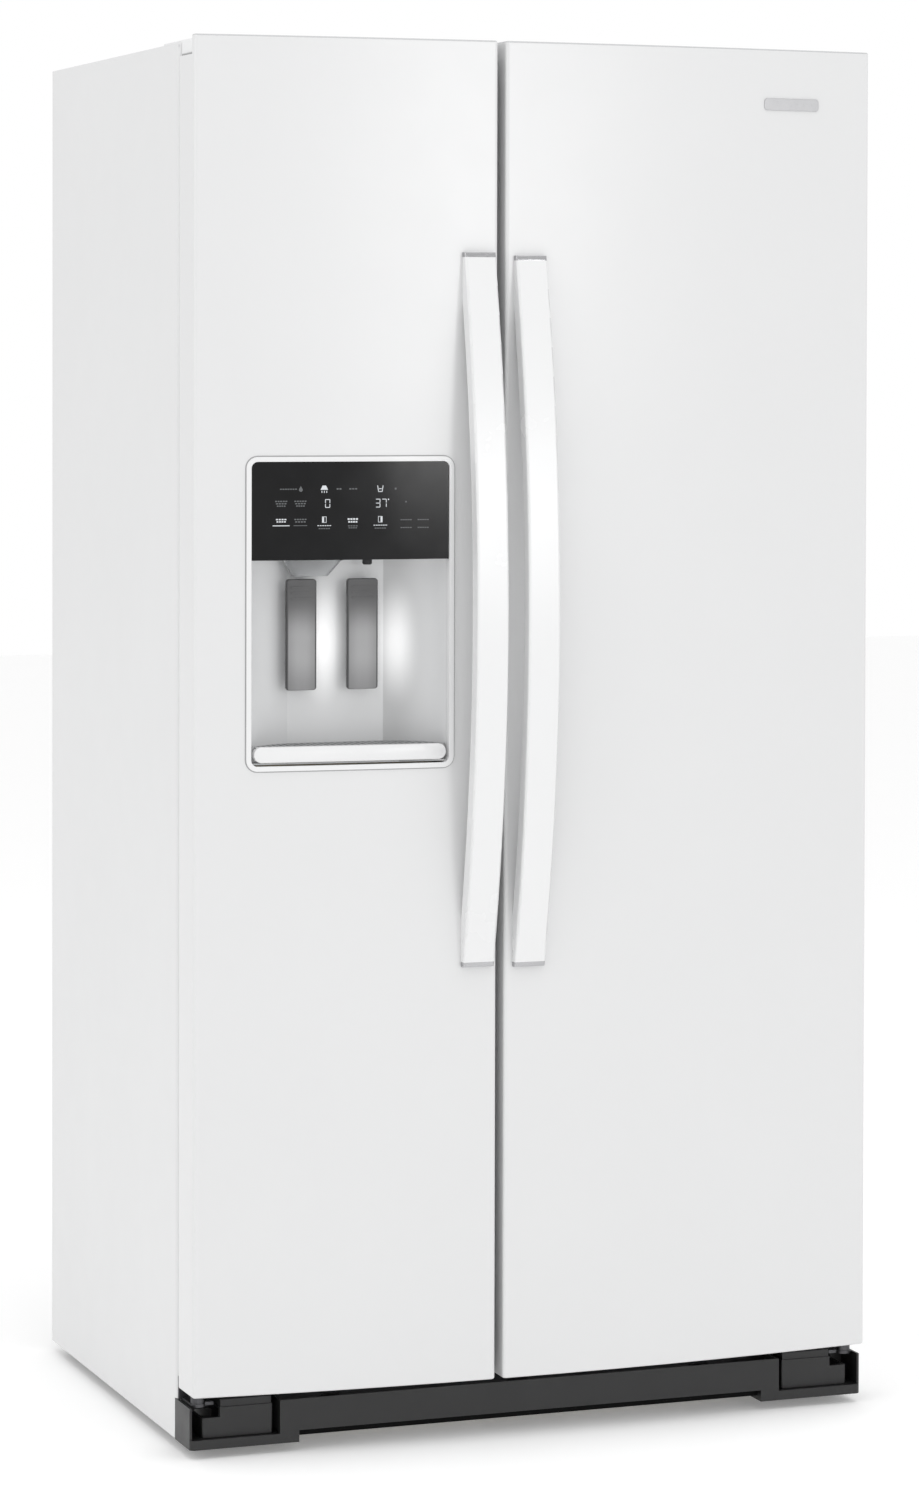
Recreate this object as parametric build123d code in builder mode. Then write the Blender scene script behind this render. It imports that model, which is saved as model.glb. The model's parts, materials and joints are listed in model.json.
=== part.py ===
from build123d import *
import math
import os

# A side by side refrigerator with a through-the-door ice and water dispenser.
# +X is the viewer's right, -Y is the front, +Z is up. The origin is on the floor, at the
# centre of the overall width and depth. All sizes are in millimetres.

# ---------------------------------------------------------------- driving dimensions
WIDTH = 902.0
HALF = WIDTH / 2
BACK_Y = 370.0
CABINET_FRONT_Y = -220.0
CABINET_TOP = 1733.0
CABINET_BOTTOM = 13.0
SHEET = 1.0

# Doors: one bowed front runs across both of them
DOOR_TOP = 1740.0
DOOR_BOTTOM = 78.0
DOOR_EDGE_Y = -288.0
DOOR_REAR_Y = -228.0
DOOR_BOW = 26.0
DOOR_SHEET = 1.2
FREEZER_DOOR_X = (-HALF, -66.4)
REFRIGERATOR_DOOR_X = (-56.0, HALF)
GASKET_FACE_Y = CABINET_FRONT_Y - 0.3
BOW_RADIUS = (HALF**2 + DOOR_BOW**2) / (2 * DOOR_BOW)

# Door hinges: a vertical axis near each outer corner
HINGE_X = 436.0
HINGE_Y = -258.0
PIN_RADIUS = 5.0
PIN_CLEARANCE = 0.05
PIN_LENGTH = 16.0
NOTCH_WIDTH = 75.0
NOTCH_FRONT_Y = -279.0
NOTCH_FLOOR = 1716.0

# Handles: arched bars either side of the gap
HANDLE_WIDTH = 41.0
HANDLE_FACE_Y = -370.0
HANDLE_END_Y = -321.0
HANDLE_ROOT_Y = -307.0
HANDLE_FOOT = 34.0
HANDLE_THICKNESS = 18.0
HANDLE_END = 6.0
FREEZER_HANDLE = {"x": -92.5, "z": (594.5, 1478.0)}
REFRIGERATOR_HANDLE = {"x": -24.8, "z": (592.0, 1474.5)}

# Dispenser in the freezer door
BEZEL_X = (-386.5, -123.6)
BEZEL_Z = (842.6, 1226.6)
BEZEL_RADIUS = 14.0
BEZEL_WIDTH = 6.0
NICHE_X = (BEZEL_X[0] + BEZEL_WIDTH, BEZEL_X[1] - BEZEL_WIDTH)
NICHE_Z = (850.0, 1100.0)
NICHE_BACK_Y = -243.0
NICHE_BACK_X = (-317.0, -191.5)
PANEL_WALL = 2.0
CHUTE_X = (-322.0, -258.0)
CHUTE_Y = (-270.0, -240.0)
CHUTE_INLET_Z = (1252.0, 1318.0)
CHUTE_REAR_Y = -148.0
PADDLE_Z = (938.0, 1075.0)
PADDLE_Y = -260.0
PADDLE_PIVOT_Y = -253.0
PADDLE_PIVOT_Z = 1066.0
PADDLE_PIN = 2.0
NOZZLE_X = -220.0
NOZZLE_Y = -264.0
NOZZLE_RADIUS = 6.0
ICE_PADDLE_X = (-325.0, -286.0)
WATER_PADDLE_X = (-246.0, -206.0)
TRAY_Z = (853.0, 872.0)

# Compartments, measured on the outside of their moulded liners
LINER = 1.5
FREEZER_X = (-401.0, -91.0)
REFRIGERATOR_X = (-31.0, 401.0)
CAVITY_FLOOR = 120.0
CAVITY_TOP = 1685.0
CAVITY_BACK_Y = 318.0
STEP_Y = 140.0
STEP_Z = 310.0
CORNER = 20.0
FLANGE_X = 425.0
FLANGE_SPLIT_X = -61.0
FLANGE_Z = (86.0, 1705.0)

# Insulation and the machine compartment at the lower back
FOAM_BACK_Y = 366.0
FOAM_BOTTOM = 86.0
MACHINE_Y = 180.0
MACHINE_TOP = 275.0
DECK_Z = 38.0

# Door liners, gaskets and bins
GASKET_WIDTH = 20.0
GASKET_Z = (93.0, 1711.0)
DYKE_REAR_Y = -185.0
DYKE_WALL = 16.0
DYKE_Z = (130.0, 1675.0)
FREEZER_DYKE_X = (-394.0, -104.0)
REFRIGERATOR_DYKE_X = (-20.0, 393.0)
BIN_FLOORS_FREEZER = {150.0: 105.0, 420.0: 90.0, 640.0: 90.0, 1400.0: 90.0, 1545.0: 85.0}
BIN_FLOORS_REFRIGERATOR = {
    150.0: 130.0, 420.0: 110.0, 700.0: 110.0, 980.0: 100.0, 1260.0: 100.0, 1500.0: 90.0
}
BIN_WALL = 2.5
FREEZER_BIN_Y = -152.0
REFRIGERATOR_BIN_Y = -132.0

# Shelves and drawers
WIRE_SHELVES_Z = (330.0, 620.0, 900.0, 1212.0)
GLASS_SHELVES_Z = (486.0, 800.0, 1080.0, 1360.0)
LEDGE = 6.0
DRAWER_WALL = 3.0

# Side wings of the toe grille
WING_Y = (-279.0, -212.0)
WING_Z = (12.0, 63.0)

# Rollers and brake feet
ROLLER_RADIUS = 21.0
ROLLER_WIDTH = 22.0
ROLLER_X = 424.0
FRONT_ROLLER_Y = -160.0
REAR_ROLLER_Y = 325.0
RAIL_X = (403.0, 448.0)
FOOT_X = 372.0
FOOT_Y = -196.0

ALONG = {"X": (0, 90, 0), "Y": (90, 0, 0), "Z": (0, 0, 0)}


# ---------------------------------------------------------------- shared operations
def block(x, y, z, mode=Mode.ADD):
    """Add or cut a box between three pairs of limits in the part being built."""
    with Locations((sum(x) / 2, sum(y) / 2, sum(z) / 2)):
        Box(x[1] - x[0], y[1] - y[0], z[1] - z[0], mode=mode)


def rod(centre, radius, length, along, mode=Mode.ADD):
    """Add or cut a cylinder centred on a point, along X, Y or Z."""
    with Locations(centre):
        Cylinder(radius, length, rotation=ALONG[along], mode=mode)


def inside(limits, inset):
    """Draw a pair of limits in by an inset at each end."""
    return (limits[0] + inset, limits[1] - inset)


def bow_y(x):
    """The Y of the doors' bowed front at X."""
    return DOOR_EDGE_Y - DOOR_BOW + BOW_RADIUS - math.sqrt(BOW_RADIUS**2 - x**2)


def bow_points(setback):
    """Three points of the bowed front, moved back from it by a setback."""
    edge_y = DOOR_EDGE_Y + setback
    return (-HALF, edge_y), (0, edge_y - DOOR_BOW), (HALF, edge_y)


def bowed_slab(x, front, back, z):
    """A solid between two copies of the bowed front, set back from it by front and back."""
    with BuildPart() as slab:
        with BuildSketch(Plane.XY.offset(z[0])):
            with BuildLine():
                near = ThreePointArc(*bow_points(front))
                far = ThreePointArc(*bow_points(back))
                Line(near @ 0, far @ 0)
                Line(near @ 1, far @ 1)
            make_face()
            with Locations((sum(x) / 2, DOOR_EDGE_Y)):
                Rectangle(x[1] - x[0], 400, mode=Mode.INTERSECT)
        extrude(amount=z[1] - z[0])
    return slab.part


def front_window(x, z, radius, y=(-400.0, -200.0)):
    """A rounded rectangle seen from the front, as a bar along Y."""
    with BuildPart() as window:
        with BuildSketch(Plane.XZ.offset(-y[0])):
            with Locations((sum(x) / 2, sum(z) / 2)):
                RectangleRounded(x[1] - x[0], z[1] - z[0], radius)
        extrude(amount=y[0] - y[1])
    return window.part


def door_blank(x, inset):
    """A door's full outer shape with a flat rear, drawn in by an inset but not at the rear."""
    notch_edge = -HALF if x[0] < -HALF / 2 else HALF
    outward = 1 if notch_edge > 0 else -1
    with BuildPart() as blank:
        with BuildSketch(Plane.XY.offset(DOOR_BOTTOM + inset)) as outline:
            with BuildLine():
                front = ThreePointArc(*bow_points(inset))
                Polyline(front @ 1, (HALF, DOOR_REAR_Y), (-HALF, DOOR_REAR_Y), front @ 0)
            make_face()
            with Locations((sum(x) / 2, DOOR_EDGE_Y)):
                Rectangle(x[1] - x[0] - 2 * inset, 400, mode=Mode.INTERSECT)
            fillet(outline.vertices().sort_by(Axis.Y)[:2], radius=4.5 - inset)
        extrude(amount=DOOR_TOP - DOOR_BOTTOM - 2 * inset)
        for cap in (blank.faces().sort_by(Axis.Z)[0], blank.faces().sort_by(Axis.Z)[-1]):
            fillet(cap.edges().sort_by(Axis.Y)[:-1], radius=2.8 - inset)
        notch_x = sorted((notch_edge + outward, notch_edge - outward * (NOTCH_WIDTH + inset)))
        notch_y = (NOTCH_FRONT_Y - inset, DOOR_REAR_Y + 1)
        block(notch_x, notch_y, (NOTCH_FLOOR - inset, DOOR_TOP + 1), Mode.SUBTRACT)
    return blank.part


def cut_hinge_bores(axis_x):
    """Cut the lower and upper pin bores into the door piece being built."""
    depth = PIN_LENGTH + 2
    for z in (DOOR_BOTTOM + depth / 2 - 1, NOTCH_FLOOR - depth / 2 + 1):
        rod((axis_x, HINGE_Y, z), PIN_RADIUS + PIN_CLEARANCE, depth, "Z", Mode.SUBTRACT)


def liner_core(x, inset):
    """The space inside a compartment's liner, with a raised rear floor over the machinery."""
    front_y = CABINET_FRONT_Y - 5
    with BuildPart() as core:
        block(inside(x, inset), (front_y, STEP_Y - inset), (CAVITY_FLOOR + inset, STEP_Z + 60))
        block(inside(x, inset), (front_y, CAVITY_BACK_Y - inset), (STEP_Z + inset, CAVITY_TOP - inset))
        long_edges = core.edges().filter_by(Axis.Y).filter_by(lambda e: e.length > 300)
        fillet(long_edges, radius=CORNER - inset)
    return core.part


def arched_bar(handle):
    """The handle's whole arched bar, standing off the door between its two feet."""
    low, high = handle["z"]
    middle = (low + high) / 2
    back_y = HANDLE_FACE_Y + HANDLE_THICKNESS
    with BuildPart() as bar:
        with BuildSketch(Plane.YZ.offset(handle["x"] - HANDLE_WIDTH / 2)):
            with BuildLine():
                face = ThreePointArc((HANDLE_END_Y, low), (HANDLE_FACE_Y, middle), (HANDLE_END_Y, high))
                inner = ThreePointArc(
                    (HANDLE_ROOT_Y, low + HANDLE_FOOT), (back_y, middle), (HANDLE_ROOT_Y, high - HANDLE_FOOT)
                )
                Polyline(face @ 0, (HANDLE_ROOT_Y, low), inner @ 0)
                Polyline(face @ 1, (HANDLE_ROOT_Y, high), inner @ 1)
            make_face()
        extrude(amount=HANDLE_WIDTH)
        face_edges = bar.faces().sort_by(Axis.Y)[0].edges().filter_by(GeomType.CIRCLE)
        fillet(face_edges, radius=3.0)
    return bar.part


def open_tray(x, y, z, wall):
    """An open-topped rectangular tray with rounded upright corners."""
    with BuildPart() as hollow:
        block(inside(x, wall), inside(y, wall), (z[0] + wall, z[1] + 1))
        fillet(hollow.edges().filter_by(Axis.Z), radius=wall * 2)
    with BuildPart() as tray:
        block(x, y, z)
        fillet(tray.edges().filter_by(Axis.Z), radius=wall * 3)
        add(hollow.part, mode=Mode.SUBTRACT)
    return tray.part


def save(piece, name):
    """Label a finished piece and write its STEP file."""
    piece.part.label = name
    export_step(piece.part, f"parts/{name}.step")


os.makedirs("parts", exist_ok=True)

# ---------------------------------------------------------------- cabinet casing
FLANGE = 26.0
EDGE_ROLL = 8.0

with BuildPart() as top_panel:
    top_z = (CABINET_TOP - 60, CABINET_TOP)
    with BuildSketch(Plane.YZ.offset(SHEET - HALF)) as top_outline:
        with Locations(((CABINET_FRONT_Y + BACK_Y) / 2, CABINET_TOP - FLANGE / 2)):
            Rectangle(BACK_Y - CABINET_FRONT_Y, FLANGE)
        fillet(top_outline.vertices().sort_by(Axis.X)[:2].sort_by(Axis.Y)[-1], radius=EDGE_ROLL)
        with BuildSketch(mode=Mode.SUBTRACT) as top_inner:
            with Locations(((CABINET_FRONT_Y + SHEET + BACK_Y) / 2, CABINET_TOP - SHEET - FLANGE / 2)):
                Rectangle(BACK_Y - CABINET_FRONT_Y - SHEET, FLANGE)
            fillet(top_inner.vertices().sort_by(Axis.X)[:2].sort_by(Axis.Y)[-1], radius=EDGE_ROLL - SHEET)
    extrude(amount=2 * (HALF - SHEET))
    for side in (-1, 1):
        corner_x = sorted((side * (HALF - FLANGE), side * HALF))
        block(corner_x, (CABINET_FRONT_Y - 1, CABINET_FRONT_Y + 2), top_z, Mode.SUBTRACT)
save(top_panel, "top_panel")

with BuildPart() as side_panels:
    with BuildSketch(Plane.XY.offset(CABINET_BOTTOM)) as side_outline:
        with Locations((HALF - FLANGE / 2, (CABINET_FRONT_Y + BACK_Y) / 2)):
            Rectangle(FLANGE, BACK_Y - CABINET_FRONT_Y)
        fillet(side_outline.vertices().sort_by(Axis.Y)[:2].sort_by(Axis.X)[-1], radius=EDGE_ROLL)
        with BuildSketch(mode=Mode.SUBTRACT) as side_inner:
            with Locations((HALF - SHEET - FLANGE / 2, (CABINET_FRONT_Y + SHEET + BACK_Y) / 2)):
                Rectangle(FLANGE, BACK_Y - CABINET_FRONT_Y - SHEET)
            fillet(side_inner.vertices().sort_by(Axis.Y)[:2].sort_by(Axis.X)[-1], radius=EDGE_ROLL - SHEET)
    extrude(amount=CABINET_TOP - CABINET_BOTTOM)
    # the lower front corner is cut away behind the toe grille's side wing
    corner_y = (CABINET_FRONT_Y - 1, WING_Y[1] + 0.3)
    block((HALF - FLANGE - 1, HALF + 1), corner_y, (0, WING_Z[1] + 0.3), Mode.SUBTRACT)
    mirror(about=Plane.YZ)
    add(top_panel.part, mode=Mode.SUBTRACT)
save(side_panels, "side_panels")

BACK_SHEET_X = HALF - SHEET
with BuildPart() as back_panel:
    back_sheet_y = (FOAM_BACK_Y, FOAM_BACK_Y + SHEET)
    block((-BACK_SHEET_X, BACK_SHEET_X), back_sheet_y, (MACHINE_TOP, CABINET_TOP - SHEET))
    # pressed stiffening ribs
    for x in (-340, -204, -68, 68, 204, 340):
        with Locations((x, FOAM_BACK_Y + SHEET, 1000)):
            Box(34, 5, 1300)
    fillet(back_panel.faces().sort_by(Axis.Y)[-6:].edges(), radius=1.4)
    block((-HALF, HALF), (FOAM_BACK_Y - 4, FOAM_BACK_Y), (MACHINE_TOP, CABINET_TOP), Mode.SUBTRACT)
save(back_panel, "back_panel")

FOAM_FRONT_Y = CABINET_FRONT_Y + LINER
with BuildPart() as cabinet_insulation:
    block((-HALF + SHEET, HALF - SHEET), (FOAM_FRONT_Y, FOAM_BACK_Y), (FOAM_BOTTOM, CABINET_TOP - SHEET))
    fillet(cabinet_insulation.edges().filter_by(Axis.Z).sort_by(Axis.Y)[:2], radius=EDGE_ROLL)
    front_edges = cabinet_insulation.edges().filter_by(Axis.X).sort_by(Axis.Y)[:2]
    fillet(front_edges.sort_by(Axis.Z)[-1], radius=EDGE_ROLL)
    block((-HALF, HALF), (MACHINE_Y, BACK_Y), (0, MACHINE_TOP), Mode.SUBTRACT)
    for x in (FREEZER_X, REFRIGERATOR_X):
        block(x, (CABINET_FRONT_Y, STEP_Y), (CAVITY_FLOOR, STEP_Z + 1), Mode.SUBTRACT)
        block(x, (CABINET_FRONT_Y, CAVITY_BACK_Y), (STEP_Z, CAVITY_TOP), Mode.SUBTRACT)
save(cabinet_insulation, "cabinet_insulation")


def make_liner(x, flange_x, ledges):
    """A moulded compartment liner: thin walls, a front flange and ledges on both side walls."""
    outer = liner_core(x, 0)
    inner = liner_core(x, LINER)
    with BuildPart() as liner:
        add(outer)
        block(flange_x, (CABINET_FRONT_Y - 10, CABINET_FRONT_Y), (0, CABINET_TOP), Mode.SUBTRACT)
        block(flange_x, (CABINET_FRONT_Y, CABINET_FRONT_Y + LINER), FLANGE_Z)
        add(inner, mode=Mode.SUBTRACT)
        for z, front, back, width in ledges:
            for wall, inward in ((x[0] + LINER, 1), (x[1] - LINER, -1)):
                ledge_x = sorted((wall - inward * LINER / 2, wall + inward * width))
                block(ledge_x, (front, back), (z - LEDGE, z))
    return liner.part


SHELF_FRONT_Y = -100.0
SHELF_BACK_Y = 250.0
DRAWER_LEDGE = 9.0
freezer_ledges = [(z, SHELF_FRONT_Y, SHELF_BACK_Y, LEDGE) for z in WIRE_SHELVES_Z]
freezer_ledges.append((282.0, SHELF_FRONT_Y, 120.0, DRAWER_LEDGE))
refrigerator_ledges = [(z, SHELF_FRONT_Y, SHELF_BACK_Y, LEDGE) for z in GLASS_SHELVES_Z]
refrigerator_ledges.append((292.0, SHELF_FRONT_Y, 120.0, DRAWER_LEDGE))
refrigerator_ledges.append((470.0, SHELF_FRONT_Y, 280.0, DRAWER_LEDGE))

with BuildPart() as freezer_liner:
    add(make_liner(FREEZER_X, (-FLANGE_X, FLANGE_SPLIT_X), freezer_ledges))
save(freezer_liner, "freezer_liner")

with BuildPart() as refrigerator_liner:
    add(make_liner(REFRIGERATOR_X, (FLANGE_SPLIT_X, FLANGE_X), refrigerator_ledges))
save(refrigerator_liner, "refrigerator_liner")

# ---------------------------------------------------------------- base
RAIL_SHEET = 2.5
RAIL_TOP = FOAM_BOTTOM
FRONT_BAR_Y = (-216.0, -176.0)
BAR_HEIGHT = 52.0
RAIL_END_Y = 362.0

with BuildPart() as base_frame:
    channel_z = (0, RAIL_TOP - RAIL_SHEET)
    for side in (-1, 1):
        rail_x = sorted((side * RAIL_X[0], side * RAIL_X[1]))
        block(rail_x, (FRONT_BAR_Y[0], RAIL_END_Y), (CABINET_BOTTOM + 3, RAIL_TOP))
        block(inside(rail_x, RAIL_SHEET), (FRONT_BAR_Y[0] - 1, 363), channel_z, Mode.SUBTRACT)
    block((-RAIL_X[0], RAIL_X[0]), FRONT_BAR_Y, (RAIL_TOP - BAR_HEIGHT, RAIL_TOP))
    bar_hollow_x = (-RAIL_X[0] - 1, RAIL_X[0] + 1)
    block(bar_hollow_x, inside(FRONT_BAR_Y, RAIL_SHEET), channel_z, Mode.SUBTRACT)
    block((-RAIL_X[0], RAIL_X[0]), (MACHINE_Y + 2, RAIL_END_Y), (DECK_Z, DECK_Z + RAIL_SHEET))
    # nut plates for the two brake feet, inside the front bar
    nut_z = (RAIL_TOP - BAR_HEIGHT, RAIL_TOP - BAR_HEIGHT + 10)
    for side in (-1, 1):
        nut_x = sorted((side * (FOOT_X - 18), side * (FOOT_X + 18)))
        block(nut_x, FRONT_BAR_Y, nut_z)
        rod((side * FOOT_X, FOOT_Y, sum(nut_z) / 2), 6.0 + PIN_CLEARANCE, 12, "Z", Mode.SUBTRACT)
    # axle holes through both walls of each rail
    for y in (FRONT_ROLLER_Y, REAR_ROLLER_Y):
        rod((0, y, ROLLER_RADIUS), 4.0, WIDTH, "X", Mode.SUBTRACT)
save(base_frame, "base_frame")

GRILLE_FRONT_Y = -278.0
GRILLE_WALL = 3.0
GRILLE_BACK_Y = GRILLE_FRONT_Y + GRILLE_WALL
GRILLE_PANEL_X = 336.0
GRILLE_STEP_X = 311.0
GRILLE_PANEL_Z = (26.5, 65.5)
LIP_Z = (12.0, 24.0)
LIP_REAR_Y = -228.0
SKIRT_Y = (-266.0, -263.0)
SKIRT_Z = (17.5, 28.5)
HOUSING_X = (343.0, 434.0)
HOUSING_FRONT_Y = -270.0
HOUSING_BOTTOM = 24.6
HOUSING_NOTCH = 23.0
RETURN_Y = -240.0

with BuildPart() as base_grille:
    block((-HALF, HALF), (GRILLE_FRONT_Y, LIP_REAR_Y), LIP_Z)
    fillet(base_grille.edges().filter_by(Axis.Z).sort_by(Axis.Y)[:2], radius=6)
    block((-GRILLE_STEP_X, GRILLE_STEP_X), (-400, 0), (LIP_Z[0] - 1, GRILLE_PANEL_Z[0]), Mode.SUBTRACT)
    panel_y = (GRILLE_FRONT_Y, GRILLE_BACK_Y)
    block((-GRILLE_PANEL_X, GRILLE_PANEL_X), panel_y, GRILLE_PANEL_Z)
    # a thin skirt set back beneath the panel
    skirt_x = (-GRILLE_STEP_X, GRILLE_STEP_X)
    block(skirt_x, (GRILLE_FRONT_Y + 1, SKIRT_Y[1]), (GRILLE_PANEL_Z[0], SKIRT_Z[1]))
    block(skirt_x, SKIRT_Y, SKIRT_Z)
    for side in (-1, 1):
        wing_x = sorted((side * (HALF - GRILLE_WALL), side * HALF))
        block(wing_x, (WING_Y[0] + 5, WING_Y[1]), WING_Z)
        # the panel runs down to the lip outside the step
        step_x = sorted((side * GRILLE_STEP_X, side * GRILLE_PANEL_X))
        block(step_x, panel_y, (LIP_Z[1] - 1, GRILLE_PANEL_Z[1]))
        # its end turns back and then outwards behind the gap beside the roller housing
        return_x = sorted((side * (GRILLE_PANEL_X - GRILLE_WALL), side * GRILLE_PANEL_X))
        block(return_x, (GRILLE_FRONT_Y + 1, RETURN_Y), (LIP_Z[1] - 1, GRILLE_PANEL_Z[1]))
        flange_x = sorted((side * (GRILLE_PANEL_X - GRILLE_WALL), side * (HOUSING_X[0] - 0.6)))
        block(flange_x, (RETURN_Y - GRILLE_WALL, RETURN_Y), (LIP_Z[1] - 1, GRILLE_PANEL_Z[1]))
    # clips that reach back to the front bar
    for x in (-250, 0, 250):
        block((x - 12, x + 12), (GRILLE_FRONT_Y + 1, FRONT_BAR_Y[0]), (50, 53))
save(base_grille, "base_grille")

with BuildPart() as roller_housings:
    housing_y = (HOUSING_FRONT_Y, -224.5)
    block(HOUSING_X, housing_y, (HOUSING_BOTTOM, 61))
    fillet(roller_housings.edges().filter_by(Axis.Z), radius=2)
    # a narrower head leaves the corner free for the hinge, and stands a little behind the face
    block((HOUSING_X[0] + 2, HOUSING_X[1] - 24), (HOUSING_FRONT_Y + 1.5, housing_y[1] - 2), (60, 70))
    block(inside(HOUSING_X, 3), (HOUSING_FRONT_Y + 6, -224), (HOUSING_BOTTOM + 3, 58), Mode.SUBTRACT)
    # open corner beneath the hinge
    notch_x = (HOUSING_X[1] - HOUSING_NOTCH, HOUSING_X[1] + 1)
    block(notch_x, (HOUSING_FRONT_Y - 1, housing_y[1] - 4), (49, 62), Mode.SUBTRACT)
    # rear tab that reaches out to the toe grille's wing
    block((HOUSING_X[1] - 1, HALF - GRILLE_WALL - 0.4), (housing_y[1] - 3, housing_y[1]), (LIP_Z[0], 60))
    mirror(about=Plane.YZ)
save(roller_housings, "roller_housings")

# ---------------------------------------------------------------- hinges
HINGE_PLATE = 4.0
LOWER_PLATE_Z = (62.0, 66.0)
with BuildPart() as lower_hinges:
    with BuildSketch(Plane.XY.offset(LOWER_PLATE_Z[0])) as lower_plate:
        with Locations((HINGE_X, HINGE_Y)):
            Circle(9.5)
        with Locations((HINGE_X - 5.5, (HINGE_Y - 220) / 2)):
            Rectangle(30, -220 - HINGE_Y)
    extrude(amount=HINGE_PLATE)
    rod((HINGE_X, HINGE_Y, 71.5), 8.5, 12, "Z")
    lower_pin_z = (70, DOOR_BOTTOM + PIN_LENGTH)
    rod((HINGE_X, HINGE_Y, sum(lower_pin_z) / 2), PIN_RADIUS, lower_pin_z[1] - lower_pin_z[0], "Z")
    block((HINGE_X - 76, HINGE_X + 9.5), (-224, -220), (LOWER_PLATE_Z[0] - 12, 80))
    # upstand at the outer end of the flange
    block((HINGE_X + 4, HALF - 1.5), (-224, -220), (WING_Z[1] + 1, 92))
    with Locations((HINGE_X - 60, -225, 75), (HINGE_X - 30, -225, 75)):
        Cylinder(4.5, 3, rotation=ALONG["Y"])
    mirror(about=Plane.YZ)
save(lower_hinges, "lower_hinges")

UPPER_PLATE_Z = (CABINET_TOP, CABINET_TOP + 2.0)
ARM_HALF = 8.0
NOTCH_GAP = 0.6
with BuildPart() as upper_hinges:
    with BuildSketch(Plane.XY.offset(UPPER_PLATE_Z[0])):
        with Locations((HINGE_X, HINGE_Y)):
            Circle(ARM_HALF)
        with BuildLine():
            Polyline(
                (HINGE_X + ARM_HALF, HINGE_Y), (HINGE_X + ARM_HALF, -150), (HINGE_X - 44, -150),
                (HINGE_X - 44, -205), (HINGE_X - ARM_HALF, -216), (HINGE_X - ARM_HALF, HINGE_Y), close=True
            )
        make_face()
        with Locations((HINGE_X - 6, -165), (HINGE_X - 34, -165)):
            Circle(3.2, mode=Mode.SUBTRACT)
    extrude(amount=UPPER_PLATE_Z[1] - UPPER_PLATE_Z[0])
    for pin_radius, pin_z in (
        (PIN_RADIUS, (NOTCH_FLOOR - PIN_LENGTH + 1, UPPER_PLATE_Z[1])),
        (7.5, (NOTCH_FLOOR + NOTCH_GAP, UPPER_PLATE_Z[0])),
    ):
        rod((HINGE_X, HINGE_Y, sum(pin_z) / 2), pin_radius, pin_z[1] - pin_z[0], "Z")
    mirror(about=Plane.YZ)
save(upper_hinges, "upper_hinges")

COVER_TOP = 1736.8
COVER_WALL = 1.4
NECK_HALF = 10.0
NECK_HOLLOW = 8.5
CAP_X = (HINGE_X - 50, HINGE_X + NECK_HALF)
CAP_Y = (-220.3, -142.0)


def cover_outline(inset, half_width):
    """Draw one hinge cover seen from above: a box behind with a round-ended neck over the pin."""
    with Locations(((CAP_X[0] + CAP_X[1]) / 2, (CAP_Y[0] + CAP_Y[1]) / 2)):
        Rectangle(CAP_X[1] - CAP_X[0] - 2 * inset, CAP_Y[1] - CAP_Y[0] - 2 * inset)
    with Locations((HINGE_X, (HINGE_Y + CAP_Y[0] + 10) / 2)):
        Rectangle(2 * half_width, CAP_Y[0] + 10 - HINGE_Y)
    with Locations((HINGE_X, HINGE_Y)):
        Circle(half_width)


with BuildPart() as cover_hollow:
    with BuildSketch(Plane.XY.offset(NOTCH_FLOOR - 1)):
        cover_outline(COVER_WALL, NECK_HOLLOW)
    extrude(amount=COVER_TOP - COVER_WALL - NOTCH_FLOOR + 1)
with BuildPart() as hinge_covers:
    with BuildSketch(Plane.XY.offset(NOTCH_FLOOR + NOTCH_GAP)):
        cover_outline(0, NECK_HALF)
    extrude(amount=COVER_TOP - NOTCH_FLOOR - NOTCH_GAP)
    cabinet_below = (NOTCH_FLOOR - 1, CABINET_TOP)
    block(inside(CAP_X, -1), (CAP_Y[0], CAP_Y[1] + 1), cabinet_below, Mode.SUBTRACT)
    chamfer(hinge_covers.faces().sort_by(Axis.Z)[-1].edges(), length=1.0)
    add(cover_hollow.part, mode=Mode.SUBTRACT)
    mirror(about=Plane.YZ)
save(hinge_covers, "hinge_covers")

# ---------------------------------------------------------------- machine compartment
COMPRESSOR_X = 190.0
COMPRESSOR_Y = 272.0
DECK_TOP = DECK_Z + RAIL_SHEET

with BuildPart() as compressor:
    rod((COMPRESSOR_X, COMPRESSOR_Y, 138), 82, 152, "Z")
    fillet(compressor.faces().sort_by(Axis.Z)[-1].edges(), radius=52)
    fillet(compressor.faces().sort_by(Axis.Z)[0].edges(), radius=22)
    # welded seam, base plate with four rubber mounts, terminal cover and tube stubs
    rod((COMPRESSOR_X, COMPRESSOR_Y, 118), 86, 5, "Z")
    block((COMPRESSOR_X - 100, COMPRESSOR_X + 100), (COMPRESSOR_Y - 52, COMPRESSOR_Y + 52), (58, 62))
    with GridLocations(176, 80, 2, 2):
        with Locations((COMPRESSOR_X, COMPRESSOR_Y, (DECK_TOP + 58) / 2)):
            Cylinder(11, 58 - DECK_TOP)
    block((COMPRESSOR_X - 116, COMPRESSOR_X - 70), (COMPRESSOR_Y - 24, COMPRESSOR_Y + 24), (92, 150))
    rod((COMPRESSOR_X + 16, COMPRESSOR_Y + 12, 225), 4, 50, "Z")
    rod((COMPRESSOR_X - 16, COMPRESSOR_Y + 12, 225), 4, 50, "Z")
save(compressor, "compressor")

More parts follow.
